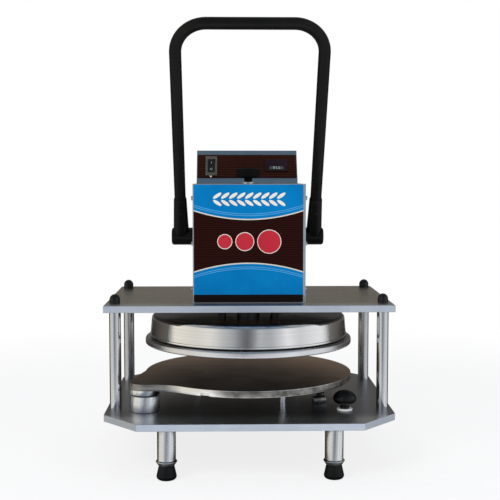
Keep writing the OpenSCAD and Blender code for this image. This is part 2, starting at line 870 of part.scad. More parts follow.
// The pinion has a tooth that points at the rack at rest
module pinion() {
    color("darkgray") translate([0, pivot_y, pivot_z]) rotate([0, 90, 0]) difference() {
        union() {
            translate([0, 0, -gear_w / 2]) rotate([0, 0, -90]) linear_extrude(gear_w)
                polygon(gear_points);
            translate([0, 0, -gear_hub_l / 2]) cylinder(d = gear_bore_hub_d, h = gear_hub_l);
        }
        translate([0, 0, -gear_hub_l]) cylinder(d = shaft_d + 2 * run_gap, h = 2 * gear_hub_l);
    }
}

// Handle

// Places a shape in the handle's own plane: X across, Z from the shaft to the grip bar
module in_handle() {
    translate([0, pivot_y, pivot_z]) rotate([handle_lean, 0, 0]) children();
}

module tube_ring() {
    difference() {
        circle(d = tube_d);
        circle(d = tube_d - 2 * tube_wall);
    }
}

// A tube bent to a U: two arms, two bends and the grip bar
module handle_tube() {
    x = handle_span / 2;
    arm_top = handle_reach - bend_r;
    color("black") in_handle() {
        both_sides() {
            translate([x, 0, tube_seat]) linear_extrude(arm_top - tube_seat) tube_ring();
            translate([x - bend_r, 0, arm_top]) rotate([90, 0, 0])
                rotate_extrude(angle = 90) translate([bend_r, 0]) tube_ring();
        }
        translate([bend_r - x, 0, handle_reach]) rotate([0, 90, 0])
            linear_extrude(2 * (x - bend_r)) tube_ring();
    }
}

// An arm hub: a short bar on the shaft with a tapered socket for the tube
module handle_hub() {
    x0 = head_w / 2 + arm_hub_gap;
    x1 = handle_span / 2 + arm_hub_out;
    r = arm_hub_d / 2;
    rim_z = socket_l - socket_rim;
    color("black") in_handle() difference() {
        union() {
            translate([x0, 0, 0]) rotate([0, 90, 0]) turned(concat(
                [[0, 0], [r, 0]],
                arc([r - arm_hub_round, x1 - x0 - arm_hub_round], arm_hub_round, 0, 90, 6),
                [[0, x1 - x0]]));
            translate([handle_span / 2, 0, 0]) turned([[0, 0], [socket_foot_d / 2, 0],
                [socket_foot_d / 2, r], [socket_top_d / 2, rim_z],
                [(socket_top_d + tube_d) / 4, socket_l], [0, socket_l]]);
        }
        rod_x(shaft_d + 2 * run_gap, x0 - cut_over, x1 - arm_hub_wall);
        translate([handle_span / 2, 0, 0])
            rod(tube_d + 2 * run_gap, tube_seat, socket_l + cut_over);
    }
}

module handle_hub_left() { mirror([1, 0, 0]) handle_hub(); }
module handle_hub_right() { handle_hub(); }

// Set screws in the front of the sockets
module hub_screws() {
    taper_share = (set_screw_along - arm_hub_d / 2) / (socket_l - socket_rim - arm_hub_d / 2);
    out = (socket_foot_d + (socket_top_d - socket_foot_d) * taper_share) / 2;
    color("dimgray") in_handle() both_sides()
        translate([handle_span / 2, -out - run_gap, set_screw_along])
            rotate([90, 0, 0]) cylinder(d = set_screw_d, h = set_screw_h);
}

// Head housing

// A flat front panel with a flange turned back outside each side of the housing
module front_cover() {
    color("saddlebrown") {
        span_box(-cover_x, cover_x, head_y0, head_y0 + sheet_t, top_z1, head_z1);
        both_sides() span_box(cover_x - sheet_t, cover_x, head_y0 + sheet_t,
            head_y0 + sheet_t + cover_flange, top_z1, head_z1);
    }
}

// Sides, top and back of the housing, with its foot flanges turned in
module head_shell() {
    x = head_w / 2;
    y0 = head_y0 + sheet_t;
    color("gainsboro") difference() {
        union() {
            difference() {
                span_box(-x, x, y0, head_y1, top_z1, head_z1);
                span_box(sheet_t - x, x - sheet_t, y0 - cut_over, head_y1 - sheet_t,
                    top_z1 - cut_over, head_z1 - sheet_t);
            }
            both_sides() span_box(x - cheek_t, x - sheet_t, pivot_y + cheek_foot_w / 2
                + shell_flange, head_y1 - sheet_t, top_z1, top_z1 + sheet_t);
        }
        translate([0, pivot_y, pivot_z]) rod_x(shaft_hole_d, -head_w, head_w);
        translate([0, press_y, 0])
            rod(knob_bush_body_d, head_z1 - sheet_t - cut_over, head_z1 + cut_over);
        translate([0, head_y1 - console_d / 2, 0])
            rod(cable_hole_d, head_z1 - sheet_t - cut_over, head_z1 + cut_over);
        span_box(inlet_x - inlet_w / 2, inlet_x + inlet_w / 2, head_y1 - sheet_t - cut_over,
            head_y1 + cut_over, top_z1 + inlet_z - inlet_h / 2, top_z1 + inlet_z + inlet_h / 2);
    }
}

// Screws through the cover's flanges into the sides of the housing
module cover_screws() {
    y = head_y0 + sheet_t + cover_flange / 2;
    color("silver") both_sides() for (s = cover_screw_zs_share)
        translate([cover_x, y, top_z1 + s * head_h]) rotate([0, 90, 0])
            cylinder(d = cover_screw_d, h = cover_screw_h);
}

// The appliance inlet in the back of the housing, with an open socket for the mains lead
module inlet_socket() {
    color("black") translate([inlet_x, head_y1, top_z1 + inlet_z]) difference() {
        union() {
            span_box(run_gap - inlet_w / 2, inlet_w / 2 - run_gap, -inlet_body_d, 0,
                run_gap - inlet_h / 2, inlet_h / 2 - run_gap);
            span_box(-inlet_w / 2 - inlet_lip, inlet_w / 2 + inlet_lip, 0, inlet_lip_t,
                -inlet_h / 2 - inlet_lip, inlet_h / 2 + inlet_lip);
        }
        span_box(-socket_w / 2, socket_w / 2, inlet_lip_t - socket_d, inlet_lip_t + cut_over,
            -socket_h / 2, socket_h / 2);
    }
}

// The bush in the top of the housing that carries the thickness knob
module knob_bush() {
    color("silver") translate([0, press_y, 0]) difference() {
        union() {
            rod(knob_bush_d, head_z1, head_z1 + knob_bush_t);
            rod(knob_bush_body_d - 2 * run_gap, head_z1 - knob_bush_depth, head_z1);
        }
        rod(knob_stem_d + 2 * run_gap, head_z1 - knob_bush_depth - cut_over,
            head_z1 + knob_bush_t + cut_over);
    }
}

// A round knob whose thin rod slides in the ram's bore and turns the setting there
module thickness_knob() {
    z0 = head_z1 + knob_rise;
    z1 = z0 + thick_knob_h;
    r = thick_knob_d / 2;
    rod_z0 = pivot_z + rack_over - rod_engage;
    color("black") translate([0, press_y, 0]) {
        turned(concat(
            [[0, z0], [r - knob_round, z0]],
            arc([r - knob_round, z0 + knob_round], knob_round, -90, 0, 6),
            arc([r - knob_round, z1 - knob_round], knob_round, 0, 90, 6),
            [[0, z1]]));
        rod(knob_stem_d, head_z1 - knob_bush_depth, z0 + knob_round);
        rod(rod_thin_d, rod_z0, head_z1 - knob_bush_depth + cut_over);
    }
}

// Console

// Places a shape on the console's leaning face: X across, Z up the face, Y into it
module on_face() {
    translate([0, console_y0, head_z1]) rotate([-console_lean, 0, 0]) children();
}

module console_side(wall) {
    slope_in = wall / cos(console_lean);
    z1 = console_h - wall;
    polygon([[slope_in, 0], [slope_in + z1 * tan(console_lean), z1], [console_d - wall, z1],
        [console_d - wall, 0]]);
}

// A case with a leaning face, open below and in its face behind the panel
module console_case() {
    x = head_w / 2;
    color("lightsteelblue") difference() {
        translate([-x, console_y0, head_z1]) rotate([90, 0, 90])
            linear_extrude(head_w) console_side(0);
        translate([sheet_t - x, console_y0, head_z1]) rotate([90, 0, 90])
            linear_extrude(head_w - 2 * sheet_t) console_side(sheet_t);
        span_box(sheet_t - x, x - sheet_t, console_y0 + sheet_t / cos(console_lean),
            head_y1 - sheet_t, head_z1 - cut_over, head_z1 + sheet_t);
        on_face() span_box(window_in - x, x - window_in, -cut_over, 2 * sheet_t,
            panel_foot + window_in, panel_foot + panel_l - window_in);
    }
}

module console_panel() {
    x = head_w / 2 - panel_side;
    color("sienna") on_face() difference() {
        span_box(-x, x, -panel_t, 0, panel_foot, panel_foot + panel_l);
        translate([switch_x, 0, switch_along]) span_box(-switch_w / 2 + switch_rise,
            switch_w / 2 - switch_rise, -panel_t - cut_over, cut_over,
            -switch_l / 2 + switch_rise, switch_l / 2 - switch_rise);
        translate([display_x, 0, display_along]) span_box(-display_w / 2 + display_back_in,
            display_w / 2 - display_back_in, -panel_t - cut_over, cut_over,
            -display_l / 2 + display_back_in, display_l / 2 - display_back_in);
    }
}

// A dark display unit with a sunk window and its body behind the panel
module display_unit() {
    back = display_back_in + run_gap;
    color("black") on_face() translate([display_x, -panel_t, display_along]) difference() {
        union() {
            span_box(-display_w / 2, display_w / 2, -display_rise, 0, -display_l / 2,
                display_l / 2);
            span_box(-display_w / 2 + back, display_w / 2 - back, 0, display_depth,
                -display_l / 2 + back, display_l / 2 - back);
        }
        span_box(-lens_w / 2, lens_w / 2, -display_rise - cut_over, lens_sink - display_rise,
            -lens_drop - lens_l / 2, lens_l / 2 - lens_drop);
    }
}

// The rocker's frame: a bezel on the panel and a well behind it
module switch_frame() {
    back = switch_rise + run_gap;
    color("lightgray") on_face() translate([switch_x, -panel_t, switch_along]) difference() {
        union() {
            span_box(-switch_w / 2, switch_w / 2, -switch_rise, 0, -switch_l / 2, switch_l / 2);
            span_box(-switch_w / 2 + back, switch_w / 2 - back, 0, switch_depth,
                -switch_l / 2 + back, switch_l / 2 - back);
        }
        span_box(-rocker_w / 2 - rocker_gap, rocker_w / 2 + rocker_gap, -switch_rise - cut_over,
            rocker_well, -rocker_l / 2 - 2 * rocker_gap, rocker_l / 2 + 2 * rocker_gap);
        translate([0, rocker_pivot_depth, 0]) rod_x(rocker_pin_d + 2 * run_gap,
            -rocker_w / 2 - 2 * rocker_gap, rocker_w / 2 + 2 * rocker_gap);
    }
}

// The rocker: two flat faces that meet at a shallow angle, on a pin across its middle
module rocker() {
    half = rocker_l / 2;
    rise = switch_rise + half * tan(rocker_tilt);
    color("black") on_face()
        translate([switch_x, rocker_pivot_depth - panel_t, switch_along]) {
            rotate([rocker_tilt, 0, 0]) translate([-rocker_w / 2, 0, 0]) rotate([90, 0, 90])
                linear_extrude(rocker_w) polygon([[-rise - rocker_pivot_depth, half],
                    [-switch_rise - rocker_pivot_depth, 0], [-rise - rocker_pivot_depth, -half],
                    [0, rocker_gap - half], [rocker_depth - rocker_pivot_depth, -half / 2],
                    [rocker_depth - rocker_pivot_depth, half / 2], [0, half - rocker_gap]]);
            rod_x(rocker_pin_d, -rocker_w / 2 - rocker_gap - run_gap,
                rocker_w / 2 + rocker_gap + run_gap);
        }
}

// The circuit board on the floor of the console, on four short posts
module control_board() {
    y1 = head_y1 - sheet_t - board_back;
    color("darkgreen") {
        span_box(-board_w / 2, board_w / 2, y1 - board_d, y1, head_z1 + board_rise,
            head_z1 + board_rise + board_t);
        both_sides() for (y = [y1 - board_d + board_post_d, y1 - board_post_d])
            translate([board_w / 2 - board_post_d, y, 0])
                rod(board_post_d, head_z1, head_z1 + board_rise);
    }
}

base_plate();
top_plate();
post_front_left();
post_front_right();
post_back_left();
post_back_right();
cap_nuts();
post_nuts();
leg_front_left();
leg_front_right();
leg_back_left();
leg_back_right();
foot_front_left();
foot_front_right();
foot_back_left();
foot_back_right();
hub_post();
thrust_washer();
rest_studs();
stop_block();
stop_pin();
knob_washer();
front_cover();
head_shell();
cover_screws();
cheek_left();
cheek_right();
cheek_screws();
shaft_bushes();
ram_bush();
guide_bushes();
knob_bush();
console_case();
console_panel();
display_unit();
switch_frame();
control_board();
inlet_socket();
handle_tube();
handle_hub_left();
handle_hub_right();
hub_screws();
cross_shaft();
pinion();
ram();
platen();
heater_ring();
insulation();
gasket_ring();
heater_cover();
flange_screws();
guide_rod_left();
guide_rod_right();
return_springs();
swing_plate();
plate_stop();
rest_knob();
thickness_knob();
rocker();
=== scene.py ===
from math import pi, radians

import bmesh
import bpy
from mathutils import Matrix, Vector


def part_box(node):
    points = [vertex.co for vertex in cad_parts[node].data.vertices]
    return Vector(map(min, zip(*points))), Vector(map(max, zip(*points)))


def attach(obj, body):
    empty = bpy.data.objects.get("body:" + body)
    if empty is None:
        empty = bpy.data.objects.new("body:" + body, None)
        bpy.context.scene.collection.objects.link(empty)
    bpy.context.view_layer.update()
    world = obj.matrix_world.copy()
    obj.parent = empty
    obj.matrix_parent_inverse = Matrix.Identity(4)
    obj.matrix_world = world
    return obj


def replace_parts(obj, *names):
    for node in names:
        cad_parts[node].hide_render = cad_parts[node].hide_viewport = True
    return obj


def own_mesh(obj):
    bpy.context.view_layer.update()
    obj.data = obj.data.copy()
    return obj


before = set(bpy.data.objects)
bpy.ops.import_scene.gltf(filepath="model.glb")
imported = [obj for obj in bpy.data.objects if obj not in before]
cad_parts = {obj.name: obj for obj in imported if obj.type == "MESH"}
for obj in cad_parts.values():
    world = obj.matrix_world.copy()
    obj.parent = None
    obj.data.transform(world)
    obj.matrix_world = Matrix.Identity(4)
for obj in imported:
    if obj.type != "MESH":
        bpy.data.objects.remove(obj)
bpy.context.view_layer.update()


# Studio: a pale floor that fades out, and a soft room that is bright at the sides, darker straight
# in front and dim behind, as in a product photograph. The camera stands where the photo was taken.
def add(tree, kind, inputs=None, **settings):
    """A shader node with its settings, whose inputs are values or the sockets that feed them."""
    made = tree.nodes.new("ShaderNode" + kind)
    for name, value in settings.items():
        setattr(made, name, value)
    for name, value in (inputs or {}).items():
        if isinstance(value, bpy.types.NodeSocket):
            tree.links.new(value, made.inputs[name])
        else:
            made.inputs[name].default_value = value
    return made


def math_of(tree, operation, *values):
    """The output of a Math node."""
    return add(tree, "Math", dict(enumerate(values)), operation=operation).outputs[0]


def ramp_of(tree, value, low, high, low_out=0.0, high_out=1.0, smooth=False):
    """A value spread from one range to another and held at its ends."""
    return add(tree, "MapRange", {"Value": value, "From Min": low, "From Max": high,
                                  "To Min": low_out, "To Max": high_out},
               interpolation_type="SMOOTHSTEP" if smooth else "LINEAR").outputs["Result"]


def mix_of(tree, mask, below, above):
    """One colour that turns into another where the mask is 1."""
    made = add(tree, "Mix", {"Factor": mask}, data_type="RGBA")
    for socket, value in ((made.inputs[6], below), (made.inputs[7], above)):
        if isinstance(value, bpy.types.NodeSocket):
            tree.links.new(value, socket)
        else:
            socket.default_value = (*value, 1.0)
    return made.outputs[2]


def value_of(tree, mask, below, above):
    """One value that turns into another where the mask is 1."""
    made = add(tree, "Mix", {"Factor": mask}, data_type="FLOAT")
    for socket, value in ((made.inputs[2], below), (made.inputs[3], above)):
        if isinstance(value, bpy.types.NodeSocket):
            tree.links.new(value, socket)
        else:
            socket.default_value = value
    return made.outputs[0]


def bands_of(tree, value, *stops):
    """A colour that runs through stops, each a place from 0 to 1 and a colour."""
    ramp = add(tree, "ValToRGB", {"Fac": value})
    elements = ramp.color_ramp.elements
    for place, colour in stops[1:-1]:
        elements.new(place).color = (*colour, 1.0)
    for element, (place, colour) in ((elements[0], stops[0]), (elements[-1], stops[-1])):
        element.position = place
        element.color = (*colour, 1.0)
    return ramp.outputs["Color"]


camera_data = bpy.data.cameras.new("photo_camera")
camera_data.sensor_width = 36.0
camera_data.lens = 71.63
camera_data.clip_end = 60.0
camera = bpy.data.objects.new("photo_camera", camera_data)
camera.location = (-0.04135, -1.9935, 0.5443)
look_down, look_right = 4.12, 1.31
camera.rotation_euler = (radians(90 - look_down), 0.0, radians(-look_right))
bpy.context.scene.collection.objects.link(camera)
bpy.context.scene.camera = camera
bpy.context.scene.view_settings.view_transform = "Standard"

world = bpy.data.worlds.new("soft_room")
bpy.context.scene.world = world
world.use_nodes = True
room = world.node_tree
room.nodes.clear()
way = add(room, "SeparateXYZ", {0: add(room, "TexCoord").outputs["Generated"]})
turn = math_of(room, "ARCTAN2", way.outputs["X"], math_of(room, "MULTIPLY", way.outputs["Y"], -1.0))
turn = ramp_of(room, turn, -pi, pi)
room_back = (0.165, 0.154, 0.136)
around = bands_of(
    room, turn, (0.0, room_back), (0.11, (0.085, 0.078, 0.068)), (0.20, (0.11, 0.10, 0.088)),
    (0.232, (0.84, 0.80, 0.72)), (0.325, (0.73, 0.70, 0.65)), (0.375, (0.78, 0.77, 0.74)),
    (0.411, (0.54, 0.55, 0.56)), (0.453, (0.35, 0.37, 0.40)), (0.475, (0.20, 0.21, 0.23)),
    (0.492, (0.10, 0.10, 0.11)), (0.511, (0.22, 0.23, 0.25)), (0.53, (0.48, 0.50, 0.53)),
    (0.55, (0.42, 0.44, 0.47)), (0.572, (0.40, 0.42, 0.45)), (0.597, (0.60, 0.62, 0.65)),
    (0.622, (0.84, 0.86, 0.89)), (0.667, (0.62, 0.64, 0.67)), (0.708, (0.74, 0.76, 0.79)),
    (0.756, (0.84, 0.86, 0.89)), (0.781, (0.52, 0.53, 0.54)), (0.811, (0.13, 0.125, 0.12)),
    (0.92, (0.11, 0.10, 0.09)), (1.0, room_back))
overhead = ramp_of(room, way.outputs["Z"], 0.42, 0.80, smooth=True)
ceiling = mix_of(room, ramp_of(room, way.outputs["Y"], -0.15, 0.25, smooth=True),
                 (0.112, 0.172, 0.235), (0.40, 0.40, 0.39))
soft = mix_of(room, overhead, around, ceiling)
ahead = ramp_of(room, way.outputs["Y"], -0.25, -0.65, smooth=True)
low = math_of(room, "MULTIPLY", ahead,
              ramp_of(room, way.outputs["Z"], -0.19, -0.26, 0.0, 0.9, smooth=True))
soft = mix_of(room, low, soft, (1.05, 1.07, 1.11))
behind = ramp_of(room, way.outputs["Y"], 0.30, 0.75, smooth=True)
sunk = math_of(room, "MULTIPLY", behind, ramp_of(room, way.outputs["Z"], -0.05, -0.13, smooth=True))
soft = mix_of(room, sunk, soft, (0.022, 0.021, 0.020))
rear = math_of(room, "MULTIPLY", behind, ramp_of(room, way.outputs["Z"], -0.25, -0.33, smooth=True))
soft = mix_of(room, rear, soft, (0.60, 0.61, 0.63))
seen = add(room, "LightPath").outputs["Is Camera Ray"]
glow = add(room, "Background", {"Color": mix_of(room, seen, soft, (1.0, 1.0, 1.0)), "Strength": 1.0})
room.links.new(glow.outputs[0], add(room, "OutputWorld").inputs["Surface"])

floor_r = 4.0
floor_mesh = bmesh.new()
bmesh.ops.create_circle(floor_mesh, cap_ends=True, segments=96, radius=floor_r)
floor_data = bpy.data.meshes.new("studio_floor")
floor_mesh.to_mesh(floor_data)
floor_mesh.free()
floor = bpy.data.objects.new("studio_floor", floor_data)
bpy.context.scene.collection.objects.link(floor)
paper = bpy.data.materials.new("floor_paper")
paper.use_nodes = True
tree = paper.node_tree
shader = tree.nodes["Principled BSDF"]
shader.inputs["Roughness"].default_value = 0.9
shader.inputs["Specular IOR Level"].default_value = 0.1
shader.inputs["Emission Strength"].default_value = 1.0
place = add(tree, "TexCoord").outputs["Object"]
speck = add(tree, "TexNoise", {"Vector": place, "Scale": 40.0, "Detail": 4.0}).outputs[0]
pale = mix_of(tree, ramp_of(tree, speck, 0.3, 0.7), (0.13, 0.13, 0.132), (0.14, 0.14, 0.142))
lit = add(tree, "LightPath").outputs["Is Camera Ray"]
tree.links.new(mix_of(tree, lit, (0.03, 0.03, 0.03), pale), shader.inputs["Base Color"])
tree.links.new(mix_of(tree, lit, (0.02, 0.02, 0.02), (0.825, 0.825, 0.83)),
               shader.inputs["Emission Color"])
reach = add(tree, "VectorMath", {0: place}, operation="LENGTH").outputs["Value"]
near = ramp_of(tree, reach, 0.27, 0.42, 1.0, 0.0, smooth=True)
far = ramp_of(tree, reach, 0.75, 1.8, 1.0, 0.0, smooth=True)
tree.links.new(value_of(tree, lit, near, far), shader.inputs["Alpha"])
floor_data.materials.append(paper)

aim = Vector((0.0, 0.0, 0.30))
for name, spot, power, size in (("key_light", (-1.6, -2.2, 2.3), 60.0, 1.4),
                                ("fill_light", (2.0, -1.8, 1.6), 26.0, 1.6),
                                ("top_light", (0.1, 0.9, 2.8), 24.0, 2.0)):
    lamp = bpy.data.lights.new(name, "AREA")
    lamp.energy = power
    lamp.size = size
    light = bpy.data.objects.new(name, lamp)
    light.visible_glossy = False
    light.location = spot
    light.rotation_euler = (aim - Vector(spot)).to_track_quat("-Z", "Y").to_euler()
    bpy.context.scene.collection.objects.link(light)


# Base plate and top plate: half-inch rolled steel, ground along their width and bright plated,
# with lightly broken edges. The posts clamp them through drilled holes.
def new_group(name, inputs, outputs):
    """A shader node group with named float or vector inputs and float outputs."""
    group = bpy.data.node_groups.new(name, "ShaderNodeTree")
    for label, kind in inputs:
        group.interface.new_socket(label, in_out="INPUT", socket_type="NodeSocket" + kind)
    for label in outputs:
        group.interface.new_socket(label, in_out="OUTPUT", socket_type="NodeSocketFloat")
    return group, group.nodes.new("NodeGroupInput").outputs, group.nodes.new("NodeGroupOutput").inputs


grind_group, given, result = new_group(
    "grind_lines", (("Vector", "Vector"), ("Spread", "Vector")), ("Lines", "Smudge"))
stretched = add(grind_group, "VectorMath", {0: given["Vector"], 1: given["Spread"]},
                operation="MULTIPLY").outputs[0]
fine = add(grind_group, "TexNoise", {"Vector": stretched, "Scale": 1.0, "Detail": 4.0,
                                     "Roughness": 0.65}).outputs[0]
grind_group.links.new(ramp_of(grind_group, fine, 0.28, 0.72), result["Lines"])
broad = add(grind_group, "TexNoise", {"Vector": given["Vector"], "Scale": 14.0, "Detail": 5.0,
                                      "Roughness": 0.6, "Distortion": 0.4}).outputs[0]
grind_group.links.new(ramp_of(grind_group, broad, 0.35, 0.70), result["Smudge"])


def metal(name, bright, dull, roughness, spread, depth=0.02, smudge=0.10, ripple=0.0, **sockets):
    """A ground or turned metal: lines along the cut, faint handling marks, and a slight ripple."""
    material = bpy.data.materials.new(name)
    material.use_nodes = True
    tree = material.node_tree
    shader = tree.nodes["Principled BSDF"]
    shader.inputs["Metallic"].default_value = 1.0
    for label, value in sockets.items():
        shader.inputs[label.replace("_", " ")].default_value = value
    place = add(tree, "TexCoord").outputs["Object"]
    marks = add(tree, "Group", node_tree=grind_group)
    tree.links.new(place, marks.inputs["Vector"])
    marks.inputs["Spread"].default_value = spread
    lines, touched = marks.outputs["Lines"], marks.outputs["Smudge"]
    tree.links.new(mix_of(tree, lines, dull, bright), shader.inputs["Base Color"])
    rough = ramp_of(tree, lines, 0.0, 1.0, roughness[1], roughness[0])
    rough = math_of(tree, "MULTIPLY_ADD", touched, smudge, rough)
    tree.links.new(rough, shader.inputs["Roughness"])
    bump = add(tree, "Bump", {"Height": lines, "Strength": depth, "Distance": 0.0004})
    if ripple:
        wave = add(tree, "TexNoise", {"Vector": place, "Scale": 22.0, "Detail": 1.0}).outputs[0]
        swell = add(tree, "Bump", {"Height": wave, "Strength": ripple, "Distance": 0.004})
        tree.links.new(swell.outputs["Normal"], bump.inputs["Normal"])
    tree.links.new(bump.outputs["Normal"], shader.inputs["Normal"])
    return material


def dress(material, *nodes):
    """Gives CAD nodes a finish."""
    for name in nodes:
        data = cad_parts[name].data
        data.materials.clear()
        data.materials.append(material)


def break_edges(width, *nodes, segments=2, angle=40.0):
    """Joins the flat faces of CAD nodes and rounds their sharp edges by a small radius."""
    for name in nodes:
        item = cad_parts[name]
        weld = item.modifiers.new("joined_faces", "WELD")
        weld.merge_threshold = 0.000002
        flat = item.modifiers.new("flat_faces", "DECIMATE")
        flat.decimate_type = "DISSOLVE"
        flat.angle_limit = radians(0.5)
        bevel = item.modifiers.new("broken_edges", "BEVEL")
        bevel.width = width
        bevel.segments = segments
        bevel.limit_method = "ANGLE"
        bevel.angle_limit = radians(angle)
        bevel.harden_normals = True


def overlay(shader, mask, colour, roughness):
    """Lays another colour and roughness over a finish where the mask is 1."""
    tree = shader.id_data
    under = shader.inputs["Base Color"].links[0].from_socket
    tree.links.new(mix_of(tree, mask, under, colour), shader.inputs["Base Color"])
    under = shader.inputs["Roughness"].links[0].from_socket
    tree.links.new(value_of(tree, mask, under, roughness), shader.inputs["Roughness"])


def between(tree, value, low, high, soft=0.0002):
    """A mask that is 1 where a value lies between two limits."""
    return math_of(tree, "MULTIPLY", ramp_of(tree, value, low - soft, low),
                   ramp_of(tree, value, high + soft, high))


def ground_plate(node, bright, dull, roughness, front_light_reach):
    """A plate with a ground face painted lighter in front as painted light, edges painted bright and
    bluish as a painted reflection, and an underside painted dark as painted shade.
    """
    low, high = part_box(node)
    material = metal(node + "_steel", bright, dull, roughness, (7.0, 900.0, 900.0), depth=0.05,
                     smudge=0.07)
    tree = material.node_tree
    shader = tree.nodes["Principled BSDF"]
    spot = add(tree, "SeparateXYZ", {0: add(tree, "TexCoord").outputs["Object"]}).outputs
    height = spot["Z"]
    reach, full = front_light_reach
    # Painted light: the face is painted lighter towards the front and stays darker behind as painted
    # shade.
    overlay(shader, ramp_of(tree, spot["Y"], low.y + reach, low.y + full, 0.0, 0.9, smooth=True),
            (0.94, 0.95, 0.98), 0.34)
    # Painted reflection: the edges are painted brighter and bluer than the face, over their grinding
    # lines and random stains.
    marks = tree.nodes["Group"].outputs
    brushed_edge_sheen = mix_of(tree, marks["Lines"], (0.71, 0.77, 0.87), (0.82, 0.88, 0.96))
    stained = math_of(tree, "MULTIPLY", marks["Smudge"], 0.30)
    brushed_edge_sheen = mix_of(tree, stained, brushed_edge_sheen, (0.42, 0.50, 0.62))
    overlay(shader, between(tree, height, low.z + 0.0004, high.z - 0.0004), brushed_edge_sheen, 0.40)
    # Painted shade: the underside is painted near black.
    overlay(shader, ramp_of(tree, height, low.z + 0.0004, low.z + 0.0002), (0.075, 0.07, 0.066), 0.55)
    return material


# Painted shade: the base plate's face is painted darker and cooler than the top plate's, for the shade
# under the swing plate; the steel is the same.
dress(ground_plate("base_plate", (0.41, 0.425, 0.465), (0.31, 0.32, 0.35), (0.28, 0.38),
                   front_light_reach=(0.085, 0.028)), "base_plate")
dress(ground_plate("top_plate", (0.77, 0.74, 0.68), (0.61, 0.58, 0.53), (0.20, 0.30),
                   front_light_reach=(0.065, 0.004)), "top_plate")
break_edges(0.0008, "base_plate", "top_plate")


# Legs and feet: turned steel legs with a low collar, and moulded rubber feet with a bolt
# inside that screws up into each leg.
def moulded(name, colour, worn, roughness, grain=2600.0, depth=0.06, smudge=0.12, **sockets):
    """A moulded, painted or coated surface with a fine grain and faint handling marks."""
    material = bpy.data.materials.new(name)
    material.use_nodes = True
    tree = material.node_tree
    shader = tree.nodes["Principled BSDF"]
    for label, value in sockets.items():
        shader.inputs[label.replace("_", " ")].default_value = value
    marks = add(tree, "Group", node_tree=grind_group)
    tree.links.new(add(tree, "TexCoord").outputs["Object"], marks.inputs["Vector"])
    marks.inputs["Spread"].default_value = (grain, grain, grain)
    lines, touched = marks.outputs["Lines"], marks.outputs["Smudge"]
    tree.links.new(mix_of(tree, touched, colour, worn), shader.inputs["Base Color"])
    rough = ramp_of(tree, lines, 0.0, 1.0, roughness[0], roughness[1])
    rough = math_of(tree, "MULTIPLY_ADD", touched, smudge, rough)
    tree.links.new(rough, shader.inputs["Roughness"])
    bump = add(tree, "Bump", {"Height": lines, "Strength": depth, "Distance": 0.0003})
    tree.links.new(bump.outputs["Normal"], shader.inputs["Normal"])
    return material


corners = ("front_left", "front_right", "back_left", "back_right")
legs = ["leg_" + corner for corner in corners]
feet = ["foot_" + corner for corner in corners]
dress(metal("turned_leg", (0.88, 0.90, 0.90), (0.78, 0.795, 0.795), (0.14, 0.24),
            (4.0, 4.0, 1400.0), depth=0.05), *legs)
dress(moulded("foot_rubber", (0.004, 0.0045, 0.0055), (0.008, 0.0085, 0.009), (0.34, 0.46),
              Specular_IOR_Level=0.22), *feet)
break_edges(0.0006, *legs)


# Posts, cap nuts and nuts: ground and polished round bar with threaded ends, black domed caps
# above the top plate and hexagon nuts under the base plate.
posts = ["post_" + corner for corner in corners]
dress(metal("polished_post", (0.76, 0.77, 0.79), (0.65, 0.66, 0.68), (0.08, 0.15),
            (3.0, 3.0, 900.0), depth=0.02, smudge=0.06), *posts[:2])
# Painted shade: the back posts are the same bar as the front ones, painted darker as painted shade.
dress(metal("back_post_shaded", (0.60, 0.60, 0.605), (0.50, 0.50, 0.505), (0.12, 0.20),
            (3.0, 3.0, 900.0), depth=0.02, smudge=0.06), *posts[2:])
dress(moulded("black_cap", (0.004, 0.004, 0.0045), (0.008, 0.008, 0.008), (0.16, 0.24),
              depth=0.02, Specular_IOR_Level=0.35), "cap_nuts")
fastener = metal("zinc_fastener", (0.66, 0.67, 0.68), (0.50, 0.51, 0.52), (0.28, 0.40),
                 (700.0, 700.0, 700.0), depth=0.05)
dress(fastener, "post_nuts", "cheek_screws", "flange_screws")
break_edges(0.0006, "post_nuts", "cheek_screws")


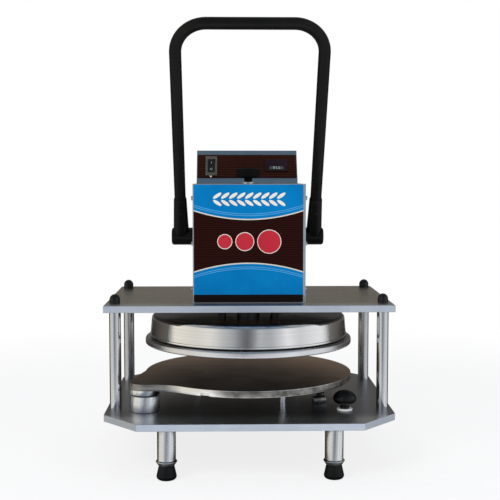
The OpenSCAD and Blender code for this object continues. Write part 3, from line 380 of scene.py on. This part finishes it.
# Swing plate: a round plate with its arm, ground along its width, with a dark baked coat on its
# face and a bare rim, where wear has left patches. It turns about a post at the front left.
def coated_plate(thick):
    """A dark coat with grinding lines and painted sheen, a bare rim with worn edges and painted
    highlights, painted shade under it, and a turned boss below.
    """
    material = metal("swing_face", (0.178, 0.106, 0.083), (0.092, 0.054, 0.042), (0.26, 0.38),
                     (6.0, 1000.0, 1000.0), depth=0.07)
    tree = material.node_tree
    shader = tree.nodes["Principled BSDF"]
    place = add(tree, "TexCoord").outputs["Object"]
    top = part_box("swing_plate")[1].z
    under = top - thick
    spot = add(tree, "SeparateXYZ", {0: place}).outputs
    height = spot["Z"]
    lines = tree.nodes["Group"].outputs["Lines"]
    combed = add(tree, "Mapping", {"Vector": place, "Scale": (2.5, 75.0, 75.0)}).outputs[0]
    streak = add(tree, "TexNoise", {"Vector": combed, "Scale": 1.0, "Detail": 3.0}).outputs[0]
    # Painted light: the coat is painted paler towards the right and the back as painted sheen, with
    # combed streaks along its grinding.
    sheen_reach = math_of(tree, "ADD", math_of(tree, "ABSOLUTE", spot["X"]),
                    math_of(tree, "MULTIPLY_ADD", spot["X"], 0.5, spot["Y"]))
    pale = math_of(tree, "MULTIPLY_ADD", streak, 0.35,
                   ramp_of(tree, sheen_reach, -0.12, 0.34, -0.175, 0.725))
    painted_sheen_colour = mix_of(tree, lines, (0.62, 0.430, 0.320), (0.96, 0.70, 0.53))
    overlay(shader, math_of(tree, "MINIMUM", math_of(tree, "MAXIMUM", pale, 0.0), 1.0), painted_sheen_colour, 0.36)
    patch = add(tree, "TexNoise", {"Vector": place, "Scale": 60.0, "Detail": 5.0}).outputs[0]
    ragged = math_of(tree, "MULTIPLY_ADD", patch, 0.0012, height)
    rim = mix_of(tree, ramp_of(tree, patch, 0.40, 0.64), (0.34, 0.33, 0.305), (0.125, 0.117, 0.105))
    worn = mix_of(tree, ramp_of(tree, patch, 0.40, 0.64), (0.74, 0.72, 0.68), (0.42, 0.40, 0.37))
    boss = mix_of(tree, lines, (0.90, 0.90, 0.88), (0.98, 0.98, 0.96))
    overlay(shader, between(tree, ragged, under, top - 0.0002), rim, 0.42)
    # Partly wear and partly painted highlight: thin bright bands along the rim's top and bottom edges.
    overlay(shader, between(tree, height, top - 0.0010, top - 0.0002), worn, 0.34)
    overlay(shader, between(tree, height, under + 0.0002, under + 0.0010), worn, 0.34)
    sides = between(tree, height, under + 0.0002, top - 0.0002)
    # Painted highlight: the arm's rim is painted near white as a painted reflection, and its end is
    # painted a mid grey.
    arm_highlight = math_of(tree, "MULTIPLY", between(tree, spot["X"], -0.125, -0.070, 0.030), sides)
    overlay(shader, math_of(tree, "MULTIPLY", ramp_of(tree, spot["X"], -0.13, -0.16), sides),
            (0.30, 0.29, 0.275), 0.34)
    overlay(shader, arm_highlight, (0.96, 0.94, 0.90), 0.32)
    # Painted shade: the underside is painted near black.
    overlay(shader, ramp_of(tree, height, under + 0.0002, under), (0.028, 0.026, 0.025), 0.5)
    overlay(shader, ramp_of(tree, height, under - 0.0002, under - 0.0004), boss, 0.20)
    return material


swing_t = 0.0127
dress(coated_plate(swing_t), "swing_plate")
break_edges(0.0010, "swing_plate")


# Pivot and stops under the swing plate: a turned post with a thrust washer, three bright studs,
# a round stop bar, and a blackened pin and stop that end the swing over the base plate. The stop's
# black is partly painted shade, so it reads as the shade under the swing plate's rim.
turned_steel = metal("turned_steel", (0.78, 0.78, 0.78), (0.64, 0.64, 0.64), (0.16, 0.28),
                     (4.0, 4.0, 1200.0), depth=0.04)
black_oxide = metal("black_oxide", (0.055, 0.055, 0.058), (0.030, 0.030, 0.032), (0.30, 0.42),
                    (500.0, 500.0, 500.0))
dress(metal("pivot_steel", (0.93, 0.96, 0.98), (0.82, 0.85, 0.87), (0.22, 0.32),
            (4.0, 4.0, 1200.0), depth=0.04), "hub_post", "rest_studs")
dress(turned_steel, "knob_bush")
dress(metal("stop_steel", (0.50, 0.50, 0.49), (0.38, 0.38, 0.37), (0.28, 0.40),
            (500.0, 500.0, 20.0), depth=0.05), "stop_block")
# Partly painted shade: the plate stop is black so that it reads as the shade under the rim.
dress(black_oxide, "thrust_washer", "stop_pin", "plate_stop")
break_edges(0.0006, "stop_block", "plate_stop", "hub_post")


# Plate rest: a moulded black mushroom knob, whose stem screws into the base plate, on a bright
# turned washer.
knob_plastic = moulded("knob_plastic", (0.003, 0.003, 0.0034), (0.006, 0.006, 0.006), (0.22, 0.32),
                       depth=0.03, Specular_IOR_Level=0.32)
dress(knob_plastic, "rest_knob")
dress(metal("bright_washer", (0.97, 0.97, 0.97), (0.90, 0.90, 0.90), (0.22, 0.34),
            (300.0, 300.0, 300.0), Metallic=0.05), "knob_washer")
break_edges(0.0004, "knob_washer")


# Heated platen: a thick aluminium disc with a dark baked coat on its pressing face, a dark gasket,
# and a spun and polished cover over the heating element and its insulation board.
platen_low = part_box("platen")[0].z
platen_metal = metal("platen_face", (0.86, 0.86, 0.87), (0.74, 0.74, 0.75), (0.20, 0.30),
                     (5.0, 5.0, 1000.0), depth=0.03)
tree = platen_metal.node_tree
height = add(tree, "SeparateXYZ", {0: add(tree, "TexCoord").outputs["Object"]}).outputs["Z"]
overlay(tree.nodes["Principled BSDF"],
        ramp_of(tree, height, platen_low + 0.0006, platen_low + 0.0003), (0.060, 0.052, 0.046), 0.42)
dress(platen_metal, "platen")
dress(metal("spun_cover", (0.94, 0.93, 0.91), (0.84, 0.83, 0.81), (0.09, 0.15),
            (2.0, 2.0, 420.0), depth=0.02, smudge=0.05, ripple=0.10), "heater_cover")
dress(moulded("gasket", (0.006, 0.006, 0.006), (0.012, 0.0115, 0.011), (0.60, 0.75)), "gasket_ring")
dress(metal("element_sheath", (0.34, 0.31, 0.28), (0.22, 0.20, 0.18), (0.38, 0.55),
            (600.0, 600.0, 600.0)), "heater_ring")
dress(moulded("insulation_board", (0.62, 0.55, 0.40), (0.52, 0.45, 0.32), (0.85, 0.95),
              grain=700.0, depth=0.3), "insulation")


# Drive in the head: blackened ram and guide rods in dark bronze bushes, painted dark partly as their
# own finish and partly as painted shade in the gap under the top plate, and a pinion and shaft in
# bearing cheeks, which stand on the top plate inside the housing. The console holds a circuit board.
dress(turned_steel, "cross_shaft", "pinion")
dress(metal("blackened_ram_in_shade", (0.10, 0.10, 0.105), (0.05, 0.05, 0.053), (0.18, 0.28),
            (4.0, 4.0, 900.0)), "ram", "guide_rod_left", "guide_rod_right")
dress(metal("cheek_plate", (0.44, 0.46, 0.49), (0.34, 0.36, 0.38), (0.40, 0.55),
            (400.0, 400.0, 30.0)), "cheek_left", "cheek_right")
dress(metal("bronze_bush_in_shade", (0.20, 0.13, 0.065), (0.13, 0.08, 0.04), (0.30, 0.42),
            (300.0, 300.0, 900.0)), "shaft_bushes", "ram_bush", "guide_bushes")
dress(moulded("board_green", (0.010, 0.075, 0.028), (0.014, 0.090, 0.036), (0.30, 0.45)),
      "control_board")


# Return springs: two coiled springs that stand on the guide bushes round the rods and push the
# platen up again. In use they shorten as it comes down; here they are built at one length.
def rim_of(ring):
    """The edges of a ring of vertices, in the order in which they were made."""
    return list(dict.fromkeys(edge for vert in ring for edge in vert.link_edges))


def piece(name, mesh, material, body, sharp=35.0):
    """Turns a bmesh into a finished piece that moves with a body."""
    bmesh.ops.remove_doubles(mesh, verts=mesh.verts, dist=0.000001)
    bmesh.ops.recalc_face_normals(mesh, faces=mesh.faces)
    data = bpy.data.meshes.new(name)
    mesh.to_mesh(data)
    mesh.free()
    data.shade_smooth()
    data.set_sharp_from_angle(angle=radians(sharp))
    data.materials.append(material)
    item = bpy.data.objects.new(name, data)
    bpy.context.scene.collection.objects.link(item)
    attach(item, body)
    return item


spring_low, spring_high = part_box("return_springs")
spring_mean_r = 0.0125
spring_wire_d = 0.003
spring_turns = 9
spring_steps = 36 * spring_turns
spring_rise = spring_high.z - spring_low.z - spring_wire_d
spring_x = spring_high.x - spring_mean_r - spring_wire_d / 2
spring_y = (spring_low.y + spring_high.y) / 2
spring_mesh = bmesh.new()
for side in (-1, 1):
    centre = Vector((side * spring_x, spring_y, spring_low.z + spring_wire_d / 2))
    start = Matrix.Translation(centre + Vector((spring_mean_r, 0, 0))) @ Matrix.Rotation(pi / 2, 4, "X")
    ring = bmesh.ops.create_circle(spring_mesh, segments=12, radius=spring_wire_d / 2,
                                   matrix=start)["verts"]
    bmesh.ops.spin(spring_mesh, geom=ring + rim_of(ring), cent=centre, axis=(0, 0, 1),
                   angle=2 * pi * spring_turns, dvec=(0, 0, spring_rise / spring_steps),
                   steps=spring_steps)
bmesh.ops.holes_fill(spring_mesh, edges=[edge for edge in spring_mesh.edges if edge.is_boundary])
spring_steel = metal("spring_wire", (0.42, 0.42, 0.44), (0.32, 0.32, 0.34), (0.30, 0.42),
                     (500.0, 500.0, 500.0))
dress(spring_steel, "return_springs")
springs = piece("coiled_return_springs", spring_mesh, spring_steel, "frame")
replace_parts(springs, "return_springs")
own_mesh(springs)


# Head housing: a folded stainless shell, with a flat front cover held by hexagon socket screws
# at its sides, and a thin access plate screwed over the drive at the back.
def stacked(mesh, place, *levels):
    """A closed form along Z of a place, from levels of height, radius and number of sides."""
    loops = []
    for level, radius, sides in levels:
        ring = bmesh.ops.create_circle(mesh, segments=sides, radius=radius,
                                       matrix=place @ Matrix.Translation((0, 0, level)))["verts"]
        loops.append(rim_of(ring))
    for lower, upper in zip(loops, loops[1:]):
        bmesh.ops.bridge_loops(mesh, edges=lower + upper)
    for ends in (loops[0], loops[-1]):
        bmesh.ops.edgeloop_fill(mesh, edges=ends)


def socket_screw(mesh, place, radius, height, socket_r, chamfer, socket_depth):
    """A round screw head on a face, with a hexagon socket; Z of its place points out of the face."""
    stacked(mesh, place, (0.0, radius, 32), (height - chamfer, radius, 32),
            (height, radius - chamfer, 32), (height, socket_r, 6), (height - socket_depth, socket_r, 6))


housing = metal("housing_sheet", (0.60, 0.65, 0.70), (0.50, 0.55, 0.59), (0.30, 0.42),
                (900.0, 8.0, 8.0), depth=0.04)
dress(housing, "head_shell", "front_cover")
break_edges(0.0006, "head_shell", "front_cover")

screw_low, screw_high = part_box("cover_screws")
screw_r = (screw_high.y - screw_low.y) / 2
screw_rise = screw_high.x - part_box("front_cover")[1].x
screw_zs = (screw_low.z + screw_r, (screw_low.z + screw_high.z) / 2, screw_high.z - screw_r)
screw_mesh = bmesh.new()
for side in (-1, 1):
    for z in screw_zs:
        spot = Matrix.Translation((side * (screw_high.x - screw_rise), screw_low.y + screw_r, z))
        socket_screw(screw_mesh, spot @ Matrix.Rotation(side * pi / 2, 4, "Y"), screw_r, screw_rise,
                     screw_r * 0.5, screw_rise * 0.25, screw_rise * 0.7)
dress(fastener, "cover_screws")
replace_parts(piece("cover_socket_screws", screw_mesh, fastener, "frame"),
            "cover_screws")

plate_w, plate_h, plate_t = 0.124, 0.116, 0.0010
plate_round, plate_edge, plate_up = 0.006, 0.0004, 0.448
plate_screw_in, plate_screw_r, plate_screw_h = 0.009, 0.0030, 0.0018
shell_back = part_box("head_shell")[1].y
plate_mid = Vector((0.0, shell_back, plate_up))
rear_mesh = bmesh.new()
bmesh.ops.create_grid(rear_mesh, x_segments=1, y_segments=1, size=0.5,
                      matrix=Matrix.Translation(plate_mid) @ Matrix.Rotation(-pi / 2, 4, "X")
                      @ Matrix.Diagonal((plate_w, plate_h, 1, 1)))
bmesh.ops.bevel(rear_mesh, geom=rear_mesh.verts[:], affect="VERTICES", offset=plate_round,
                segments=6, profile=0.5, material=-1)
raised = bmesh.ops.extrude_face_region(rear_mesh, geom=rear_mesh.faces[:])["geom"]
bmesh.ops.translate(rear_mesh, verts=[g for g in raised if isinstance(g, bmesh.types.BMVert)],
                    vec=(0, plate_t, 0))
rim_edges = [edge for edge in rear_mesh.edges
             if all(vert.co.y > shell_back + plate_t / 2 for vert in edge.verts)]
bmesh.ops.bevel(rear_mesh, geom=rim_edges, affect="EDGES", offset=plate_edge, segments=2,
                profile=0.5, material=-1)
piece("rear_access_plate", rear_mesh, housing, "frame", sharp=15.0)
rear_screw_mesh = bmesh.new()
for x in (-1, 1):
    for z in (-1, 1):
        spot = Matrix.Translation(plate_mid + Vector((x * (plate_w / 2 - plate_screw_in), plate_t,
                                                      z * (plate_h / 2 - plate_screw_in))))
        socket_screw(rear_screw_mesh, spot @ Matrix.Rotation(-pi / 2, 4, "X"), plate_screw_r,
                     plate_screw_h, plate_screw_r * 0.5, plate_screw_h * 0.25, plate_screw_h * 0.7)
piece("rear_plate_screws", rear_screw_mesh, fastener, "frame")


# Front print: a printed film stuck on the front cover, with a generic design of blue fields with
# curved edges, a dark brown field with fine lines, red discs ringed in cream and a row of leaves.
def disc_on(mesh, place, radius, inner=0.0, thick=0.00015, sides=48):
    """A thin printed disc or ring on a face; Y of its place points into the face."""
    turned = place @ Matrix.Rotation(pi / 2, 4, "X")
    rings = [bmesh.ops.create_circle(mesh, segments=sides, radius=size, matrix=turned)["verts"]
             for size in (radius, inner) if size]
    loops = [rim_of(ring) for ring in rings]
    if inner:
        faces = bmesh.ops.bridge_loops(mesh, edges=loops[0] + loops[1])["faces"]
    else:
        faces = bmesh.ops.edgeloop_fill(mesh, edges=loops[0])["faces"]
    raised = bmesh.ops.extrude_face_region(mesh, geom=faces)["geom"]
    bmesh.ops.translate(mesh, verts=[g for g in raised if isinstance(g, bmesh.types.BMVert)],
                        vec=place.to_3x3() @ Vector((0, -thick, 0)))


def film_print():
    """The front film: curved blue fields, a pinstriped brown field and a black foot strip."""
    material = bpy.data.materials.new("front_film")
    material.use_nodes = True
    tree = material.node_tree
    shader = tree.nodes["Principled BSDF"]
    shader.inputs["Specular IOR Level"].default_value = 0.04
    shader.inputs["Coat Roughness"].default_value = 0.12
    shader.inputs["Coat Weight"].default_value = 0.02
    place = add(tree, "TexCoord").outputs["Object"]
    centred = add(tree, "Mapping", {"Vector": place, "Location": film_middle, "Scale": film_half},
                  vector_type="TEXTURE").outputs[0]
    across = add(tree, "SeparateXYZ", {0: centred})
    u, v = across.outputs["X"], across.outputs["Z"]
    bow = math_of(tree, "MULTIPLY", math_of(tree, "MULTIPLY", u, u), 0.15)
    above = math_of(tree, "SUBTRACT", v, math_of(tree, "ADD", bow, 0.42))
    below = math_of(tree, "SUBTRACT", math_of(tree, "MULTIPLY_ADD", bow, -1.0, -0.34), v)
    foot = math_of(tree, "SUBTRACT", -0.865, v)
    edge = 0.003
    stripe = add(tree, "TexWave", {"Vector": place, "Scale": 75.0, "Distortion": 1.2, "Detail": 2.0},
                 bands_direction="Z").outputs["Fac"]
    field = mix_of(tree, ramp_of(tree, stripe, 0.55, 0.95), (0.012, 0.0026, 0.0018),
                   (0.026, 0.0075, 0.0055))
    smear = add(tree, "TexNoise", {"Vector": place, "Scale": 18.0, "Detail": 3.0}).outputs[0]
    sky = mix_of(tree, ramp_of(tree, smear, 0.35, 0.65), (0.0015, 0.156, 0.408),
                 (0.002, 0.182, 0.465))
    for reach in (above, below):
        for start, colour in ((-0.035, (0.012, 0.003, 0.003)), (-0.020, (0.62, 0.58, 0.50)), (0.0, sky)):
            field = mix_of(tree, ramp_of(tree, reach, start, start + edge), field, colour)
        for line in (0.055, 0.085):
            fleck = ramp_of(tree, math_of(tree, "ABSOLUTE", math_of(tree, "SUBTRACT", reach, line)),
                            0.006, 0.003)
            field = mix_of(tree, fleck, field, (0.10, 0.34, 0.62))
    field = mix_of(tree, ramp_of(tree, foot, 0.0, edge), field, (0.009, 0.005, 0.006))
    tree.links.new(field, shader.inputs["Base Color"])
    marks = add(tree, "Group", node_tree=grind_group)
    tree.links.new(place, marks.inputs["Vector"])
    marks.inputs["Spread"].default_value = (900.0, 900.0, 900.0)
    tree.links.new(ramp_of(tree, marks.outputs["Smudge"], 0.0, 1.0, 0.24, 0.34),
                   shader.inputs["Roughness"])
    bump = add(tree, "Bump", {"Height": marks.outputs["Lines"], "Strength": 0.03, "Distance": 0.0003})
    tree.links.new(bump.outputs["Normal"], shader.inputs["Normal"])
    return material


cover_low, cover_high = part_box("front_cover")
film_w = 0.2057
film_left = 0.0014
film_in = 0.0014
film_t = 0.0004
film_round = 0.003
film_half = (film_w / 2, 1.0, (cover_high.z - cover_low.z) / 2 - film_in)
film_middle = (-film_left, cover_low.y, (cover_low.z + cover_high.z) / 2)
film_mesh = bmesh.new()
corners_of_film = [film_mesh.verts.new((film_middle[0] + x * film_half[0], cover_low.y,
                                        film_middle[2] + z * film_half[2]))
                   for x, z in ((-1, -1), (1, -1), (1, 1), (-1, 1))]
film_mesh.faces.new(corners_of_film)
bmesh.ops.bevel(film_mesh, geom=corners_of_film, affect="VERTICES", offset=film_round, segments=6,
                profile=0.5, material=-1)
lifted = bmesh.ops.extrude_face_region(film_mesh, geom=film_mesh.faces[:])["geom"]
bmesh.ops.translate(film_mesh, verts=[g for g in lifted if isinstance(g, bmesh.types.BMVert)],
                    vec=(0, -film_t, 0))
piece("front_film", film_mesh, film_print(), "frame")

film_y = cover_low.y - film_t
red_ink = moulded("red_ink", (0.42, 0.016, 0.030), (0.48, 0.022, 0.038), (0.26, 0.34), depth=0.02,
                  Specular_IOR_Level=0.2)
cream_ink = moulded("cream_ink", (0.70, 0.66, 0.58), (0.76, 0.72, 0.64), (0.30, 0.38), depth=0.02,
                    Specular_IOR_Level=0.2)
discs = ((-0.0460, 0.0130), (-0.0085, 0.0165), (0.0375, 0.0215))
disc_up, ring_w = 0.004, 0.0012
red_mesh, cream_mesh = bmesh.new(), bmesh.new()
for x, radius in discs:
    spot = Matrix.Translation((x, film_y, film_middle[2] + disc_up))
    disc_on(red_mesh, spot, radius)
    disc_on(cream_mesh, spot, radius + ring_w, inner=radius)
leaf_count, leaf_start, leaf_step, leaf_up, leaf_apart = 9, -0.060, 0.015, 0.0835, 0.0068
leaf_r, leaf_share, leaf_turn = 0.0092, 0.34, radians(34)
for step in range(leaf_count):
    for side in (-1, 1):
        leaf = bmesh.new()
        disc_on(leaf, Matrix(), leaf_r, sides=24)
        bmesh.ops.scale(leaf, verts=leaf.verts, vec=(1.0, 1.0, leaf_share))
        bmesh.ops.rotate(leaf, verts=leaf.verts, matrix=Matrix.Rotation(-side * leaf_turn, 3, "Y"))
        bmesh.ops.translate(leaf, verts=leaf.verts,
                            vec=(leaf_start + leaf_step * step, film_y,
                                 film_middle[2] + leaf_up + side * leaf_apart))
        kept = bpy.data.meshes.new("leaf")
        leaf.to_mesh(kept)
        leaf.free()
        cream_mesh.from_mesh(kept)
        bpy.data.meshes.remove(kept)
piece("film_red_discs", red_mesh, red_ink, "frame")
piece("film_cream_marks", cream_mesh, cream_ink, "frame")


# Console: a folded steel case with a leaning face, behind the head, and a printed panel with fine
# lines that is stuck to the face.
case_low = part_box("console_case")[0]
console_lean = radians(32)
face = Matrix.Translation((0, case_low.y, case_low.z)) @ Matrix.Rotation(-console_lean, 4, "X")
dress(metal("console_sheet", (0.50, 0.585, 0.645), (0.39, 0.455, 0.505), (0.30, 0.42),
            (9.0, 700.0, 700.0), depth=0.04), "console_case")


def lined_panel():
    """A dark brown printed film with fine lighter lines across it."""
    material = moulded("console_panel", (0.012, 0.0030, 0.0018), (0.017, 0.0045, 0.0028),
                       (0.30, 0.42), Specular_IOR_Level=0.08)
    tree = material.node_tree
    shader = tree.nodes["Principled BSDF"]
    place = add(tree, "TexCoord").outputs["Object"]
    stripe = add(tree, "TexWave", {"Vector": place, "Scale": 62.0, "Distortion": 1.5, "Detail": 2.0,
                                   "Detail Scale": 0.4}, bands_direction="Z").outputs["Fac"]
    ground = shader.inputs["Base Color"].links[0].from_socket
    tree.links.new(mix_of(tree, ramp_of(tree, stripe, 0.45, 0.95), ground, (0.036, 0.010, 0.005)),
                   shader.inputs["Base Color"])
    return material


dress(lined_panel(), "console_panel")
break_edges(0.0006, "console_case", "console_panel")


# Mains inlet: a moulded plastic socket that is pressed into the back of the housing, with three
# flat plated pins standing in it.
dress(moulded("inlet_black", (0.006, 0.006, 0.007), (0.010, 0.010, 0.010), (0.40, 0.52)),
      "inlet_socket")
break_edges(0.0006, "inlet_socket")

inlet_low, inlet_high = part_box("inlet_socket")
inlet_x, inlet_z = (inlet_low.x + inlet_high.x) / 2, (inlet_low.z + inlet_high.z) / 2
pin_w, pin_l, pin_h, pin_edge = 0.002, 0.0150, 0.0042, 0.0005
socket_floor = 0.018
pin_y = shell_back - socket_floor + pin_l / 2
pin_mesh = bmesh.new()
for x, z in ((-0.007, -0.002), (0.0, 0.002), (0.007, -0.002)):
    spot = Matrix.Translation((inlet_x + x, pin_y, inlet_z + z))
    bmesh.ops.create_cube(pin_mesh, size=1.0, matrix=spot @ Matrix.Diagonal((pin_w, pin_l, pin_h, 1)))
bmesh.ops.bevel(pin_mesh, geom=pin_mesh.edges[:], affect="EDGES", offset=pin_edge, segments=2,
                profile=0.5, material=-1)
piece("inlet_pins", pin_mesh, fastener, "frame")


# Display: a moulded black unit fixed on the console's face, with a grey-green window sunk in it
# and three light digits of seven bars each.
dress(moulded("display_black", (0.013, 0.0062, 0.0078), (0.018, 0.009, 0.011), (0.22, 0.32),
              Specular_IOR_Level=0.18), "display_unit")
break_edges(0.0006, "display_unit", segments=3)

display_x = 0.0613
window_up = 0.036
window_w, window_h = 0.029, 0.007
window_floor, window_t = -0.0032, 0.0002
window_place = face @ Matrix.Translation((display_x, window_floor, window_up))
window_mesh = bmesh.new()
bmesh.ops.create_grid(window_mesh, x_segments=1, y_segments=1, size=0.5,
                      matrix=window_place @ Matrix.Translation((0, -window_t, 0))
                      @ Matrix.Rotation(pi / 2, 4, "X") @ Matrix.Diagonal((window_w, window_h, 1, 1)))
bmesh.ops.solidify(window_mesh, geom=window_mesh.faces[:], thickness=window_t)
window_grey = moulded("window_grey", (0.039, 0.053, 0.051), (0.052, 0.067, 0.065), (0.18, 0.26),
                      depth=0.02)
piece("display_window", window_mesh, window_grey, "frame")

digit_h, digit_w, digit_step, digit_t = 0.0050, 0.0026, 0.0058, 0.0002
bar_w, bar_share = 0.0007, 0.92
bars = {"top": (0, 1, 0), "middle": (0, 0, 0), "bottom": (0, -1, 0), "upper_left": (-1, 0.5, 1),
        "upper_right": (1, 0.5, 1), "lower_left": (-1, -0.5, 1), "lower_right": (1, -0.5, 1)}
shown = (("top", "middle", "bottom", "upper_right", "lower_right"),
         ("top", "middle", "bottom", "upper_left", "lower_right"),
         ("top", "bottom", "upper_left", "upper_right", "lower_left", "lower_right"))
digit_mesh = bmesh.new()
for index, lit_bars in enumerate(shown):
    for name in lit_bars:
        x, z, upright = bars[name]
        spot = window_place @ Matrix.Translation((
            (index - 1) * digit_step + x * digit_w / 2, -window_t - digit_t, z * digit_h / 2))
        spot = spot @ Matrix.Rotation(pi / 2, 4, "X") @ Matrix.Rotation(pi / 2 * upright, 4, "Z")
        length = (digit_h / 2 if upright else digit_w) * bar_share
        spot = spot @ Matrix.Diagonal((length, bar_w, 1, 1)) @ Matrix.Rotation(pi / 6, 4, "Z")
        bmesh.ops.create_circle(digit_mesh, cap_ends=True, segments=6, radius=0.5, matrix=spot)
lifted = bmesh.ops.extrude_face_region(digit_mesh, geom=digit_mesh.faces[:])["geom"]
bmesh.ops.translate(digit_mesh, verts=[g for g in lifted if isinstance(g, bmesh.types.BMVert)],
                    vec=face.to_3x3() @ Vector((0, digit_t, 0)))
digit_light = moulded("digit_light", (0.55, 0.66, 0.60), (0.62, 0.72, 0.66), (0.30, 0.40), depth=0.01)
piece("display_digits", digit_mesh, digit_light, "frame")


# Rocker switch: a moulded grey frame snapped into the console, a black rocker that tilts in it,
# with a bar and a ring moulded in white, and a small pilot lamp below.
dress(moulded("switch_grey", (0.062, 0.056, 0.048), (0.080, 0.073, 0.063), (0.35, 0.48),
              Specular_IOR_Level=0.25), "switch_frame")
dress(moulded("rocker_black", (0.008, 0.010, 0.009), (0.013, 0.015, 0.014), (0.26, 0.38),
              Specular_IOR_Level=0.22), "rocker")
break_edges(0.0012, "switch_frame", segments=3)
break_edges(0.0006, "rocker")

rocker_x, rocker_in, rocker_up, rocker_high = -0.0743, 0.0025, 0.041, 0.006
mark_up, mark_gap, mark_r, mark_hole_r, bar_narrow = 0.0075, 0.00002, 0.0024, 0.0017, 0.22
rocker_lean = Matrix.Rotation(radians(8), 4, "X")
rocker_place = (face @ Matrix.Translation((rocker_x, rocker_in, rocker_up)) @ rocker_lean
                @ Matrix.Translation((0, -rocker_high, 0)))
upper_half = rocker_place @ rocker_lean @ Matrix.Translation((0, -mark_gap, mark_up))
lower_half = rocker_place @ rocker_lean.inverted() @ Matrix.Translation((0, -mark_gap, -mark_up))
mark_mesh = bmesh.new()
disc_on(mark_mesh, upper_half @ Matrix.Diagonal((bar_narrow, 1, 1, 1)), mark_r, sides=24)
disc_on(mark_mesh, lower_half, mark_r, inner=mark_hole_r, sides=32)
mark_white = moulded("mark_white", (0.30, 0.31, 0.29), (0.36, 0.37, 0.35), (0.40, 0.50), depth=0.02)
piece("rocker_marks", mark_mesh, mark_white, "rocker")

lamp_x, lamp_out, lamp_up = -0.0754, 0.0015, 0.0159
lamp_levels = ((0.0, 0.0022), (0.0005, 0.0022), (0.0007, 0.0019), (0.0007, 0.0016), (0.0012, 0.0014),
               (0.0016, 0.0009), (0.00175, 0.0003))
lamp_place = face @ Matrix.Translation((lamp_x, -lamp_out, lamp_up)) @ Matrix.Rotation(pi / 2, 4, "X")
lamp_mesh = bmesh.new()
stacked(lamp_mesh, lamp_place, *((level, radius, 32) for level, radius in lamp_levels))
lamp_lens = moulded("lamp_lens", (0.62, 0.60, 0.54), (0.70, 0.68, 0.62), (0.16, 0.24), depth=0.01)
piece("pilot_lamp", lamp_mesh, lamp_lens, "frame")


# Handle: a steel tube bent to a U and stove enamelled black, in two cast hubs on the shaft, each
# with a socket set screw.
handle_black = moulded("handle_enamel", (0.004, 0.004, 0.0036), (0.007, 0.007, 0.0063), (0.22, 0.32),
                       grain=900.0, depth=0.03, Specular_IOR_Level=0.12)
dress(handle_black, "handle_tube", "handle_hub_left", "handle_hub_right")
dress(black_oxide, "hub_screws")

pivot_y, pivot_z, handle_lean = 0.028, 0.4271, radians(32)
arm_x, arm_out, arm_along = 0.1344, 0.01366, 0.0635
grub_r, grub_rise, grub_socket_r, grub_chamfer, grub_depth = 0.0025, 0.0016, 0.0013, 0.0004, 0.0012
pivot = Matrix.Translation((0, pivot_y, pivot_z)) @ Matrix.Rotation(handle_lean, 4, "X")
grub_mesh = bmesh.new()
for side in (-1, 1):
    spot = pivot @ Matrix.Translation((side * arm_x, -arm_out, arm_along))
    socket_screw(grub_mesh, spot @ Matrix.Rotation(pi / 2, 4, "X"), grub_r, grub_rise, grub_socket_r,
                 grub_chamfer, grub_depth)
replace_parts(piece("hub_socket_screws", grub_mesh, black_oxide, "handle"),
            "hub_screws")


# Thickness knob: a round moulded knob with a dull grained face, on a stem that turns in a bush in
# the top of the housing.
dress(moulded("dull_plastic", (0.0024, 0.0022, 0.0022), (0.0045, 0.0042, 0.0042), (0.42, 0.55),
              depth=0.08, Specular_IOR_Level=0.12), "thickness_knob")
